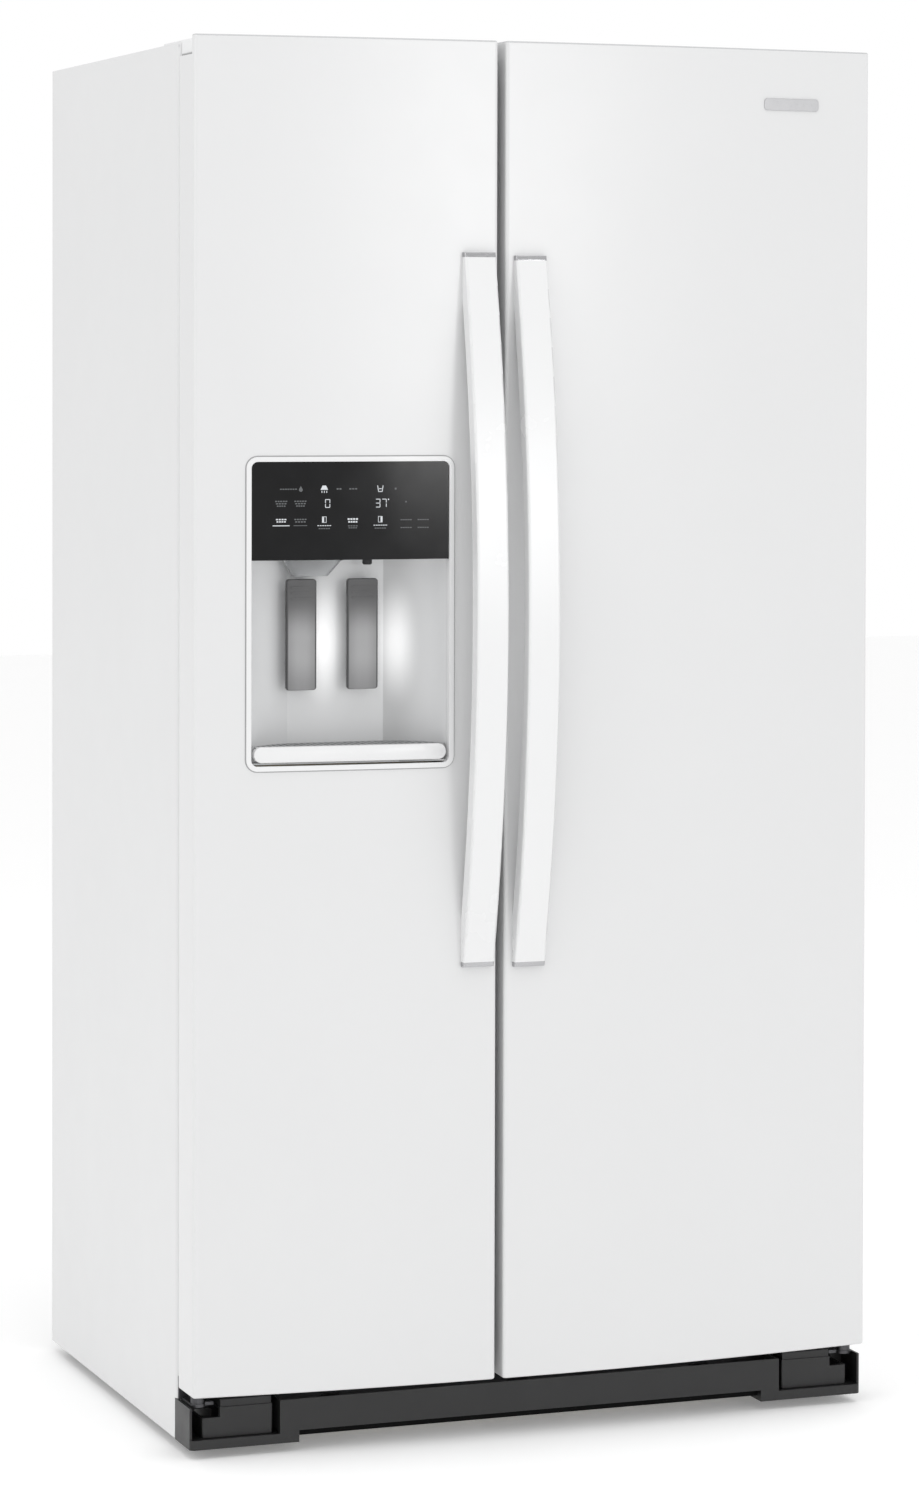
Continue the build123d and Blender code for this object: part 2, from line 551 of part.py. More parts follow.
CONDENSER_X = (-330.0, -84.0)
CONDENSER_Z = (96.0, 236.0)
CONDENSER_RADIUS = 3.2
CONDENSER_LAYERS_Y = (212.0, 252.0, 292.0, 332.0)
CONDENSER_RUNS = 6
run_gap = (CONDENSER_Z[1] - CONDENSER_Z[0]) / (CONDENSER_RUNS - 1)
with BuildPart() as condenser:
    # each layer is one serpentine tube: level runs joined by half-round bends
    for y in CONDENSER_LAYERS_Y:
        with BuildLine(Plane.XZ.offset(-y)) as tube_path:
            for row in range(CONDENSER_RUNS):
                z = CONDENSER_Z[0] + row * run_gap
                Line((CONDENSER_X[0], z), (CONDENSER_X[1], z))
                if row < CONDENSER_RUNS - 1:
                    bend_x = CONDENSER_X[1] if row % 2 == 0 else CONDENSER_X[0]
                    bulge = run_gap / 2 if row % 2 == 0 else -run_gap / 2
                    ThreePointArc((bend_x, z), (bend_x + bulge, z + run_gap / 2), (bend_x, z + run_gap))
        with BuildSketch(Plane(origin=(CONDENSER_X[0], y, CONDENSER_Z[0]), z_dir=(1, 0, 0))):
            Circle(CONDENSER_RADIUS)
        sweep(path=tube_path.wires()[0])
    # side plates that hold the four layers
    plate_y = (CONDENSER_LAYERS_Y[0] - 12, CONDENSER_LAYERS_Y[-1] + 12)
    for x in (CONDENSER_X[0] + 30, CONDENSER_X[1] - 30):
        block((x - 1.5, x + 1.5), plate_y, (74, CONDENSER_Z[1] + 10))
save(condenser, "condenser")

FAN_Y = 272.0
FAN_Z = 166.0
SHROUD_X = -52.0
FAN_BORE = 66.0
with BuildPart() as condenser_fan_motor:
    block((SHROUD_X, SHROUD_X + 2), (FAN_Y - 76, FAN_Y + 76), (DECK_TOP, FAN_Z + 84))
    rod((SHROUD_X + 1, FAN_Y, FAN_Z), FAN_BORE, 6, "X", Mode.SUBTRACT)
    rod((SHROUD_X + 48, FAN_Y, FAN_Z), 24, 36, "X")
    rod((SHROUD_X + 30, FAN_Y, FAN_Z), 2.5 + PIN_CLEARANCE, 8, "X", Mode.SUBTRACT)
    # three arms carry the motor behind the shroud
    for angle in (90, 210, 330):
        with Locations(Location((SHROUD_X + 48, FAN_Y, FAN_Z), (angle, 0, 0))):
            with Locations((0, 0, 47)):
                Box(5, 8, 50)
            with Locations((-22, 0, 71)):
                Box(49, 8, 4)
save(condenser_fan_motor, "condenser_fan_motor")


def make_fan(centre, along, hub, reach, blades, width, pitch):
    """A fan with a domed hub and twisted-flat blades, turning about X or Y."""
    plane = Plane(origin=centre, z_dir=(1, 0, 0) if along == "X" else (0, 1, 0))
    with BuildPart(plane) as fan:
        Cylinder(hub, width)
        fillet(fan.edges().filter_by(GeomType.CIRCLE), radius=width * 0.2)
        for index in range(blades):
            with Locations(Rotation(0, 0, 360 / blades * index)):
                with Locations(Location(((hub + reach) / 2 - 1, 0, 0), (pitch, 0, 0))):
                    Box(reach - hub + 2, reach * 0.62, 1.8)
    return fan.part


condenser_blades = make_fan((SHROUD_X + 9, FAN_Y, FAN_Z), "X", 17, 60, 5, 14, 22)
with BuildPart() as condenser_fan:
    add(condenser_blades)
    rod((SHROUD_X + 22, FAN_Y, FAN_Z), 2.5, 16, "X")
save(condenser_fan, "condenser_fan")

with BuildPart() as drain_pan:
    add(open_tray((-345, -70), (196, 348), (DECK_TOP, 68), 2.0))
save(drain_pan, "drain_pan")

COVER_X = 434.0
COVER_Y = (365.0, 367.0)
COVER_Z = (44.0, 272.0)
INLET_X = -372.0
INLET_Z = 120.0
GLAND_X = 340.0
GLAND_Z = 84.0
SCREW_X = (-424.0, -140.0, 140.0, 424.0)
SCREW_Z = (56.0, 260.0)
with BuildPart() as machine_cover:
    block((-COVER_X, COVER_X), COVER_Y, COVER_Z)
    # pressed rim and louvre slots
    for z in inside(COVER_Z, 4):
        block((-COVER_X + 36, COVER_X - 36), (COVER_Y[0] - 6, COVER_Y[0]), (z - 1, z + 1))
    for bank_x in (-210, 60, 300):
        for row in range(9):
            with Locations((bank_x, COVER_Y[1], 110 + row * 16)):
                Box(130, 10, 5, mode=Mode.SUBTRACT)
    rod((INLET_X, COVER_Y[1], INLET_Z), 19, 12, "Y", Mode.SUBTRACT)
    rod((GLAND_X, COVER_Y[1], GLAND_Z), 11, 12, "Y", Mode.SUBTRACT)
    for x in SCREW_X:
        for z in SCREW_Z:
            rod((x, COVER_Y[1], z), 2.2, 12, "Y", Mode.SUBTRACT)
save(machine_cover, "machine_cover")

with BuildPart() as cabinet_screws:
    for x in SCREW_X:
        for z in SCREW_Z:
            with Locations(Location((x, COVER_Y[1], z), (-90, 0, 0))):
                with Locations((0, 0, 1.2)):
                    Cylinder(4.5, 2.4)
                with Locations((0, 0, -5)):
                    Cylinder(2.0, 10)
                with Locations((0, 0, 2.4)):
                    Box(6, 1.2, 1.6, mode=Mode.SUBTRACT)
                    Box(1.2, 6, 1.6, mode=Mode.SUBTRACT)
save(cabinet_screws, "cabinet_screws")

VALVE_THREAD = 5.5
with BuildPart() as water_valve:
    block((INLET_X - 20, INLET_X + 20), (300, 336), (INLET_Z - 18, INLET_Z + 18))
    fillet(water_valve.edges().filter_by(Axis.Y), radius=5)
    rod((INLET_X, 317, INLET_Z + 32), 13, 30, "Z")
    rod((INLET_X, 341, INLET_Z), 9, 10, "Y")
    rod((INLET_X, 357, INLET_Z), VALVE_THREAD, 24, "Y")
    rod((INLET_X, 360, INLET_Z), 2.4, 30, "Y", Mode.SUBTRACT)
    block((INLET_X - 16, INLET_X + 16), (304, 332), (DECK_TOP, DECK_TOP + 3))
    block((INLET_X - 3, INLET_X + 3), (306, 330), (DECK_TOP, INLET_Z - 10))
save(water_valve, "water_valve")

with BuildPart() as power_inlet:
    rod((GLAND_X, 366, GLAND_Z), 10.8, 8, "Y")
    rod((GLAND_X, 368.5, GLAND_Z), 15, 3, "Y")
    fillet(power_inlet.faces().sort_by(Axis.Y)[-1].edges(), radius=1.2)
    rod((GLAND_X, 366, GLAND_Z), 4.2, 20, "Y", Mode.SUBTRACT)
save(power_inlet, "power_inlet")

# ---------------------------------------------------------------- freezer interior
FREEZER_INSIDE_X = inside(FREEZER_X, LINER)
REFRIGERATOR_INSIDE_X = inside(REFRIGERATOR_X, LINER)
EVAPORATOR_X = (-372.0, -120.0)
EVAPORATOR_Y = (266.0, 310.0)
EVAPORATOR_Z = (335.0, 800.0)
with BuildPart() as evaporator:
    # a stack of tubes held by a comb of fins
    block((EVAPORATOR_X[0], EVAPORATOR_X[1]), inside(EVAPORATOR_Y, 17), inside(EVAPORATOR_Z, 8))
    for fin in range(28):
        x = EVAPORATOR_X[0] + 6 + fin * (EVAPORATOR_X[1] - EVAPORATOR_X[0] - 12) / 27
        block((x - 0.6, x + 0.6), EVAPORATOR_Y, EVAPORATOR_Z)
save(evaporator, "evaporator")

EVAPORATOR_FAN_X = -246.0
EVAPORATOR_FAN_Z = 900.0
COVER_PLATE_Y = (255.0, 258.0)
with BuildPart() as evaporator_cover:
    block(inside(FREEZER_INSIDE_X, 0.5), COVER_PLATE_Y, (STEP_Z + LINER + 0.5, 1180))
    for edge_x in FREEZER_INSIDE_X:
        inward = 1 if edge_x < EVAPORATOR_FAN_X else -1
        block(sorted((edge_x + inward * 0.5, edge_x + inward * 3.5)), (COVER_PLATE_Y[1], 285), (380, 1180))
    rod((EVAPORATOR_FAN_X, 272, EVAPORATOR_FAN_Z), 60, 34, "Y")
    rod((EVAPORATOR_FAN_X, 272, EVAPORATOR_FAN_Z), 55, 60, "Y", Mode.SUBTRACT)
    # guard bars in front of the fan, and the motor on three arms behind it
    for shift in range(-44, 45, 11):
        bar_x = (EVAPORATOR_FAN_X + shift - 1.5, EVAPORATOR_FAN_X + shift + 1.5)
        block(bar_x, COVER_PLATE_Y, (EVAPORATOR_FAN_Z - 58, EVAPORATOR_FAN_Z + 58))
    for angle in (90, 210, 330):
        with Locations(Location((EVAPORATOR_FAN_X, 287, EVAPORATOR_FAN_Z), (0, angle, 0))):
            with Locations((0, 0, 37)):
                Box(6, 4, 42)
    rod((EVAPORATOR_FAN_X, 296, EVAPORATOR_FAN_Z), 18, 24, "Y")
    rod((EVAPORATOR_FAN_X, 286, EVAPORATOR_FAN_Z), 2.0 + PIN_CLEARANCE, 12, "Y", Mode.SUBTRACT)
    # cold air outlets near the top
    for row in range(4):
        outlet_z = (1060 + row * 22, 1070 + row * 22)
        block((-330, -162), inside(COVER_PLATE_Y, -1), outlet_z, Mode.SUBTRACT)
save(evaporator_cover, "evaporator_cover")

evaporator_blades = make_fan((EVAPORATOR_FAN_X, 271, EVAPORATOR_FAN_Z), "Y", 13, 49, 4, 12, 20)
with BuildPart() as evaporator_fan:
    add(evaporator_blades)
    rod((EVAPORATOR_FAN_X, 282, EVAPORATOR_FAN_Z), 2.0, 14, "Y")
save(evaporator_fan, "evaporator_fan")

WIRE = 2.4
with BuildPart() as freezer_shelves:
    for z in WIRE_SHELVES_Z:
        shelf_x = inside(FREEZER_INSIDE_X, 1.5)
        for y in (SHELF_FRONT_Y - 2, 60, SHELF_BACK_Y - 4):
            block(shelf_x, (y, y + 2 * WIRE), (z + 0.2, z + 0.2 + 2 * WIRE))
        for index in range(14):
            x = shelf_x[0] + 6 + index * (shelf_x[1] - shelf_x[0] - 12) / 13
            wire_z = (z + 0.2 + WIRE, z + 0.2 + 3 * WIRE)
            block((x - WIRE, x + WIRE), (SHELF_FRONT_Y - 2, SHELF_BACK_Y), wire_z)
save(freezer_shelves, "freezer_shelves")

BASKET_Y = (-108.0, 118.0)
BASKET_Z = (128.0, 292.0)
basket_tray = open_tray(inside(FREEZER_INSIDE_X, 12), BASKET_Y, BASKET_Z, DRAWER_WALL)
with BuildPart() as freezer_basket:
    add(basket_tray)
    for edge_x, inward in ((FREEZER_INSIDE_X[0], 1), (FREEZER_INSIDE_X[1], -1)):
        block(sorted((edge_x + inward * 2, edge_x + inward * 14)), inside(BASKET_Y, 12), (282.5, 286))
    # slots through the front and the sides let the cold air pass
    for index in range(11):
        x = -246 + (index - 5) * 22
        block((x - 4, x + 4), (BASKET_Y[0] - 1, BASKET_Y[0] + 6), (150, 262), Mode.SUBTRACT)
save(freezer_basket, "freezer_basket")

AUGER_X = -290.0
AUGER_Z = 1283.0
BIN_Y = (-96.0, 228.0)
ICE_BIN_X = (-386.0, -106.0)
ICE_BIN_Z = (1236.0, 1410.0)
NOSE_Y = -138.0
ice_tray = open_tray(ICE_BIN_X, BIN_Y, ICE_BIN_Z, DRAWER_WALL)
NOSE_TOP = 1336.0
nose_x = (AUGER_X - 44, AUGER_X + 44)
ice_nose = open_tray(nose_x, (NOSE_Y, BIN_Y[0] + 12), (ICE_BIN_Z[0], NOSE_TOP), DRAWER_WALL)
with BuildPart() as ice_bin:
    add(ice_tray)
    add(ice_nose)
    # the way from the bin into the nose, and the nose's outlet to the door chute
    way_z = (ICE_BIN_Z[0] + DRAWER_WALL, NOSE_TOP + 1)
    block((AUGER_X - 41, AUGER_X + 41), (NOSE_Y + 12, BIN_Y[0] + 14), way_z, Mode.SUBTRACT)
    block((AUGER_X - 28, AUGER_X + 28), (NOSE_Y - 1, NOSE_Y + 10), (1254, 1316), Mode.SUBTRACT)
    rod((AUGER_X, BIN_Y[1], AUGER_Z), 8.5, 20, "Y", Mode.SUBTRACT)
save(ice_bin, "ice_bin")

AUGER_SHAFT = 6.0
with BuildPart() as auger:
    rod((AUGER_X, 62, AUGER_Z), AUGER_SHAFT, 352, "Y")
    # paddles set a sixth of a turn apart along the shaft move the ice forward
    for index in range(9):
        with Locations(Location((AUGER_X, -84 + index * 36, AUGER_Z), (0, 60 * index, 0))):
            with Locations(Location((0, 0, 20), (0, 0, 35))):
                Box(12, 3, 34)
            with Locations(Location((0, 0, -20), (0, 0, -35))):
                Box(12, 3, 34)
    rod((AUGER_X, 242, AUGER_Z), 22, 6, "Y")
save(auger, "auger")

with BuildPart() as ice_maker:
    block((-372, -120), (70, 240), (1500, 1556))
    fillet(ice_maker.edges().filter_by(Axis.Z), radius=6)
    with BuildSketch(Plane.XY.offset(1556)):
        with Locations((-246, 155)):
            with GridLocations(30, 0, 8, 1):
                RectangleRounded(24, 140, 8)
    extrude(amount=-30, mode=Mode.SUBTRACT)
    # control box at one end, and the hanging arm that feels the ice level
    block((-372, -322), (40, 70), (1470, 1566))
    rod((-318, 54, 1478), 2.0, 30, "X")
    rod((-304, 54, 1458), 2.0, 44, "Z")
    # brackets to the rear wall
    for x in (-350, -142):
        block((x - 8, x + 8), (240, 316), (1540, 1550))
save(ice_maker, "ice_maker")

# ---------------------------------------------------------------- fresh food interior
SHELF_DEPTH_Y = (SHELF_FRONT_Y, 300.0)
with BuildPart() as refrigerator_shelves:
    for z in GLASS_SHELVES_Z:
        shelf_x = inside(REFRIGERATOR_INSIDE_X, 1.5)
        block(shelf_x, SHELF_DEPTH_Y, (z + 0.2, z + 14))
        block(inside(shelf_x, 14), inside(SHELF_DEPTH_Y, 14), (z + 10, z + 15), Mode.SUBTRACT)
        block(inside(shelf_x, 14), inside(SHELF_DEPTH_Y, 14), (z, z + 5), Mode.SUBTRACT)
save(refrigerator_shelves, "refrigerator_shelves")

DRAWER_FRONT_Y = -86.0


def make_drawer(y, z, rail_z):
    """A crisper drawer: open tray, side rails that ride on the liner's ledges and a grip lip."""
    tray = open_tray(inside(REFRIGERATOR_INSIDE_X, 12), y, z, DRAWER_WALL)
    with BuildPart() as drawer:
        add(tray)
        for edge_x, inward in ((REFRIGERATOR_INSIDE_X[0], 1), (REFRIGERATOR_INSIDE_X[1], -1)):
            block(sorted((edge_x + inward * 2, edge_x + inward * 14)), inside(y, 12), (rail_z, rail_z + 3.5))
        block((85, 285), (y[0] - 8, y[0] + 1), (z[1] - 14, z[1] - 10))
        block((85, 285), (y[0] - 8, y[0] - 5), (z[1] - 24, z[1] - 10))
    return drawer.part


lower_drawer = make_drawer((DRAWER_FRONT_Y, 120.0), (128.0, 302.0), 292.5)
with BuildPart() as crisper_drawer_lower:
    add(lower_drawer)
save(crisper_drawer_lower, "crisper_drawer_lower")

upper_drawer = make_drawer((DRAWER_FRONT_Y, 282.0), (316.0, 480.0), 470.5)
with BuildPart() as crisper_drawer_upper:
    add(upper_drawer)
save(crisper_drawer_upper, "crisper_drawer_upper")

with BuildPart() as control_housing:
    block((20, 350), (-60, 200), (1638, CAVITY_TOP - LINER))
    fillet(control_housing.edges().filter_by(Axis.Z), radius=10)
    block((30, 340), (-50, 190), (1641, CAVITY_TOP), Mode.SUBTRACT)
    # lamp slots in the underside and air outlets in the front
    for index in range(9):
        x = 185 + (index - 4) * 30
        block((x - 4, x + 4), (20, 140), (1637, 1642), Mode.SUBTRACT)
        block((x - 9, x + 9), (-61, -49), (1652, 1668), Mode.SUBTRACT)
save(control_housing, "control_housing")

# ---------------------------------------------------------------- rollers and brake feet
def make_rollers(y):
    """A pair of rollers, each turning on its own axle held by the two walls of a rail."""
    with BuildPart() as rollers:
        for side in (-1, 1):
            rod((side * (ROLLER_X + 1.5), y, ROLLER_RADIUS), ROLLER_RADIUS, ROLLER_WIDTH, "X")
        fillet(rollers.edges().filter_by(GeomType.CIRCLE), radius=1.5)
        for side in (-1, 1):
            rod((side * (ROLLER_X + 1.5), y, ROLLER_RADIUS), 3.95, 41, "X")
    return rollers.part


front_pair = make_rollers(FRONT_ROLLER_Y)
with BuildPart() as front_rollers:
    add(front_pair)
save(front_rollers, "front_rollers")

rear_pair = make_rollers(REAR_ROLLER_Y)
with BuildPart() as rear_rollers:
    add(rear_pair)
save(rear_rollers, "rear_rollers")

FOOT_PAD = 17.0
FOOT_THREAD = 6.0
for foot_name, side in (("brake_foot_left", -1), ("brake_foot_right", 1)):
    with BuildPart() as brake_foot:
        rod((side * FOOT_X, FOOT_Y, 5), FOOT_PAD, 10, "Z")
        chamfer(brake_foot.faces().sort_by(Axis.Z)[-1].edges(), length=2.5)
        with BuildSketch(Plane.XY.offset(10)):
            with Locations((side * FOOT_X, FOOT_Y)):
                RegularPolygon(11, 6)
        extrude(amount=8)
        rod((side * FOOT_X, FOOT_Y, 49), FOOT_THREAD, 62, "Z")
    save(brake_foot, foot_name)

# ---------------------------------------------------------------- door casings
LINER_PLATE = 2.0
POCKET_DEPTH_Y = -271.0
SKIN_OPENING = 3.0

freezer_skin_blank = door_blank(FREEZER_DOOR_X, 0)
freezer_core_blank = door_blank(FREEZER_DOOR_X, DOOR_SHEET)
refrigerator_skin_blank = door_blank(REFRIGERATOR_DOOR_X, 0)
refrigerator_core_blank = door_blank(REFRIGERATOR_DOOR_X, DOOR_SHEET)
dispenser_opening = front_window(
    inside(BEZEL_X, SKIN_OPENING),
    inside(BEZEL_Z, SKIN_OPENING),
    BEZEL_RADIUS - SKIN_OPENING,
    (-400.0, POCKET_DEPTH_Y),
)


def niche_bar(grow, z):
    """The dispenser recess seen from above, grown outwards by its wall and drawn as an upright bar."""
    left, right = NICHE_BACK_X
    left_front = (NICHE_X[0], bow_y(NICHE_X[0]) + 10)
    right_front = (NICHE_X[1], bow_y(NICHE_X[1]) + 10)
    with BuildPart() as bar:
        with BuildSketch(Plane.XY.offset(z[0])):
            with BuildLine():
                ThreePointArc(left_front, (left - 38, -262), (left, NICHE_BACK_Y))
                Line((left, NICHE_BACK_Y), (right, NICHE_BACK_Y))
                ThreePointArc((right, NICHE_BACK_Y), (right + 42, -266), right_front)
                Polyline(right_front, (NICHE_X[1], -330), (NICHE_X[0], -330), left_front)
            make_face()
            if grow:
                offset(amount=grow, kind=Kind.INTERSECTION)
        extrude(amount=z[1] - z[0])
    return bar.part


NICHE_INSET = 6.4
ELECTRONICS_Y = -272.0
niche_space = niche_bar(0, (NICHE_Z[0] + PANEL_WALL, NICHE_Z[1]))
niche_block = niche_bar(PANEL_WALL, (NICHE_Z[0], NICHE_Z[1] + PANEL_WALL))
niche_front_limit = bowed_slab((-420, -90), NICHE_INSET, 120, (NICHE_Z[0] - 10, BEZEL_Z[1]))

# chute: an upright duct behind the electronics, open to the rear at its top and down at its foot
chute_top = CHUTE_INLET_Z[1] + PANEL_WALL
with BuildPart() as chute_outer:
    block(CHUTE_X, CHUTE_Y, (NICHE_Z[1] + PANEL_WALL, chute_top))
    block(CHUTE_X, (CHUTE_Y[1] - 2, CHUTE_REAR_Y), (CHUTE_INLET_Z[0] - PANEL_WALL, chute_top))
with BuildPart() as chute_inner:
    chute_hollow_x = inside(CHUTE_X, PANEL_WALL)
    block(chute_hollow_x, inside(CHUTE_Y, PANEL_WALL), (NICHE_Z[1] - 30, chute_top - PANEL_WALL))
    block(chute_hollow_x, (CHUTE_Y[1] - 4, CHUTE_REAR_Y + 1), CHUTE_INLET_Z)

FUNNEL_TOP = {"x": -290.0, "y": -260.0, "z": NICHE_Z[1] - 0.3, "length": 78.0, "width": 28.0}
FUNNEL_FOOT = {"x": -294.0, "y": -262.0, "z": 1079.0, "length": 46.0, "width": 22.0}


def funnel(wall):
    """The tapered chute mouth that hangs in the recess, drawn in by its wall."""
    with BuildPart() as mouth:
        for end in (FUNNEL_TOP, FUNNEL_FOOT):
            drop = wall / 2 if end is FUNNEL_FOOT else 0
            with BuildSketch(Plane.XY.offset(end["z"] - drop)):
                with Locations((end["x"], end["y"])):
                    SlotOverall(end["length"] - 2 * wall, end["width"] - 2 * wall)
        loft()
    return mouth.part


funnel_outer = funnel(0)
funnel_inner = funnel(PANEL_WALL)
with BuildPart() as ice_chute:
    add(chute_outer.part)
    block(CHUTE_X, CHUTE_Y, (NICHE_Z[1] - 0.3, NICHE_Z[1] + PANEL_WALL + 1))
    add(chute_inner.part, mode=Mode.SUBTRACT)
    with BuildSketch(Plane.XY.offset(NICHE_Z[1] - 2.3)):
        with Locations((FUNNEL_TOP["x"], FUNNEL_TOP["y"])):
            SlotOverall(FUNNEL_TOP["length"], FUNNEL_TOP["width"])
    extrude(amount=2)
    add(funnel_outer)
    add(funnel_inner, mode=Mode.SUBTRACT)
    block(inside(CHUTE_X, 4), (-268, -244), (NICHE_Z[1] - 3, NICHE_Z[1] + 4), Mode.SUBTRACT)
save(ice_chute, "ice_chute")

for door_name, skin_blank, core_blank, axis_x in (
    ("freezer_door_panel", freezer_skin_blank, freezer_core_blank, -HINGE_X),
    ("refrigerator_door_panel", refrigerator_skin_blank, refrigerator_core_blank, HINGE_X),
):
    with BuildPart() as door_panel:
        add(skin_blank)
        add(core_blank, mode=Mode.SUBTRACT)
        if axis_x < 0:
            add(dispenser_opening, mode=Mode.SUBTRACT)
        cut_hinge_bores(axis_x)
    save(door_panel, door_name)

with BuildPart() as freezer_door_insulation:
    add(freezer_core_blank)
    block((-HALF, HALF), (DOOR_REAR_Y - LINER_PLATE, DOOR_REAR_Y + 5), (0, 2000), Mode.SUBTRACT)
    add(dispenser_opening, mode=Mode.SUBTRACT)
    add(niche_block, mode=Mode.SUBTRACT)
    block(CHUTE_X, (CHUTE_Y[0], DOOR_REAR_Y), (NICHE_Z[1] - 1, chute_top), Mode.SUBTRACT)
    rod((NOZZLE_X, NOZZLE_Y, NICHE_Z[1]), NOZZLE_RADIUS + PIN_CLEARANCE, 12, "Z", Mode.SUBTRACT)
    cut_hinge_bores(-HINGE_X)
save(freezer_door_insulation, "freezer_door_insulation")

with BuildPart() as refrigerator_door_insulation:
    add(refrigerator_core_blank)
    block((-HALF, HALF), (DOOR_REAR_Y - LINER_PLATE, DOOR_REAR_Y + 5), (0, 2000), Mode.SUBTRACT)
    cut_hinge_bores(HINGE_X)
save(refrigerator_door_insulation, "refrigerator_door_insulation")


def make_door_liner(core_blank, dyke_x, bin_floors):
    """A door's inner moulding: a plate over its rear, a raised ring and studs that carry the bins."""
    dyke_y = (DOOR_REAR_Y - 0.5, DYKE_REAR_Y)
    width = dyke_x[1] - dyke_x[0]
    height = DYKE_Z[1] - DYKE_Z[0]
    with BuildPart() as ring:
        with BuildSketch(Plane.XZ.offset(-dyke_y[1])):
            with Locations((sum(dyke_x) / 2, sum(DYKE_Z) / 2)):
                RectangleRounded(width, height, 18)
                RectangleRounded(width - 2 * DYKE_WALL, height - 2 * DYKE_WALL, 3, mode=Mode.SUBTRACT)
        extrude(amount=dyke_y[1] - dyke_y[0])
        fillet(ring.faces().sort_by(Axis.Y)[-1].edges(), radius=5)
        for floor in bin_floors:
            for wall, inward in ((dyke_x[0] + DYKE_WALL, 1), (dyke_x[1] - DYKE_WALL, -1)):
                stud_x = sorted((wall - inward, wall + inward * 5))
                block(stud_x, (DOOR_REAR_Y + 6, DYKE_REAR_Y - 6), (floor + 22, floor + 30))
    with BuildPart() as door_liner:
        add(core_blank)
        block((-HALF, HALF), (-400, DOOR_REAR_Y - LINER_PLATE), (0, 2000), Mode.SUBTRACT)
        add(ring.part)
    return door_liner.part


freezer_moulding = make_door_liner(freezer_core_blank, FREEZER_DYKE_X, BIN_FLOORS_FREEZER)
with BuildPart() as freezer_door_liner:
    add(freezer_moulding)
    duct_z = (CHUTE_INLET_Z[0] - PANEL_WALL, chute_top)
    block(CHUTE_X, (CHUTE_Y[0], DYKE_REAR_Y + 5), duct_z, Mode.SUBTRACT)
save(freezer_door_liner, "freezer_door_liner")

refrigerator_moulding = make_door_liner(refrigerator_core_blank, REFRIGERATOR_DYKE_X, BIN_FLOORS_REFRIGERATOR)
with BuildPart() as refrigerator_door_liner:
    add(refrigerator_moulding)
save(refrigerator_door_liner, "refrigerator_door_liner")


def make_gasket(x):
    """A magnetic door seal: a rectangular loop with a bellows groove down its outer side."""
    middle = (sum(x) / 2, sum(GASKET_Z) / 2)
    width = x[1] - x[0]
    height = GASKET_Z[1] - GASKET_Z[0]
    groove_y = (DOOR_REAR_Y + 3.0, DOOR_REAR_Y + 5.0)
    with BuildPart() as gasket:
        for layer_y, shrink in (
            ((DOOR_REAR_Y, groove_y[0]), 0.0),
            (groove_y, 2.5),
            ((groove_y[1], GASKET_FACE_Y), 0.0),
        ):
            hollow = 2 * (GASKET_WIDTH - shrink)
            with BuildSketch(Plane.XZ.offset(-layer_y[0])):
                with Locations(middle):
                    RectangleRounded(width - 2 * shrink, height - 2 * shrink, 10)
                    RectangleRounded(width - hollow, height - hollow, 6, mode=Mode.SUBTRACT)
            extrude(amount=layer_y[0] - layer_y[1])
    return gasket.part


freezer_seal = make_gasket((-434.0, -70.5))
with BuildPart() as freezer_door_gasket:
    add(freezer_seal)
save(freezer_door_gasket, "freezer_door_gasket")

refrigerator_seal = make_gasket((-52.0, 434.0))
with BuildPart() as refrigerator_door_gasket:
    add(refrigerator_seal)
save(refrigerator_door_gasket, "refrigerator_door_gasket")


def make_door_bins(dyke_x, bin_floors, rear_y):
    """The bins that hang between a door's raised side walls."""
    x = inside(dyke_x, DYKE_WALL + 0.6)
    hook_y = (DOOR_REAR_Y + 4, DYKE_REAR_Y - 3)
    trays = []
    for floor, height in bin_floors.items():
        with BuildPart() as notched:
            add(open_tray(x, (DOOR_REAR_Y + 0.6, rear_y), (floor, floor + height), BIN_WALL))
            for wall, inward in ((x[0], 1), (x[1], -1)):
                # a notch clears the stud, and a hook closes round it from inside and above
                notch_x = sorted((wall - inward, wall + inward * 5.4))
                block(notch_x, (DOOR_REAR_Y - 1, DYKE_REAR_Y - 5), (floor - 1, floor + 30.5), Mode.SUBTRACT)
                block(sorted((wall + inward * 4.4, wall + inward * 7)), hook_y, (floor, floor + 33))
                block(sorted((wall, wall + inward * 7)), hook_y, (floor + 30.5, floor + 33))
        trays.append(notched.part)
    return trays


freezer_trays = make_door_bins(FREEZER_DYKE_X, BIN_FLOORS_FREEZER, FREEZER_BIN_Y)
with BuildPart() as freezer_door_bins:
    add(freezer_trays)
save(freezer_door_bins, "freezer_door_bins")

refrigerator_trays = make_door_bins(REFRIGERATOR_DYKE_X, BIN_FLOORS_REFRIGERATOR, REFRIGERATOR_BIN_Y)
with BuildPart() as refrigerator_door_bins:
    add(refrigerator_trays)
save(refrigerator_door_bins, "refrigerator_door_bins")

# ---------------------------------------------------------------- handles
for handle_name, handle, blank in (
    ("freezer_handle", FREEZER_HANDLE, freezer_skin_blank),
    ("refrigerator_handle", REFRIGERATOR_HANDLE, refrigerator_skin_blank),
):
    low, high = handle["z"]
    whole_bar = arched_bar(handle)
    with BuildPart() as handle_bar:
        add(whole_bar)
        add(blank, mode=Mode.SUBTRACT)
        for end in ((low - 1, low + HANDLE_END), (high - HANDLE_END, high + 1)):
            block((-200, 100), (-400, -200), end, Mode.SUBTRACT)
    save(handle_bar, handle_name)
    with BuildPart() as handle_ends:
        add(whole_bar)
        add(blank, mode=Mode.SUBTRACT)
        block((-200, 100), (-400, -200), (low + HANDLE_END, high - HANDLE_END), Mode.SUBTRACT)
    save(handle_ends, handle_name + "_ends")

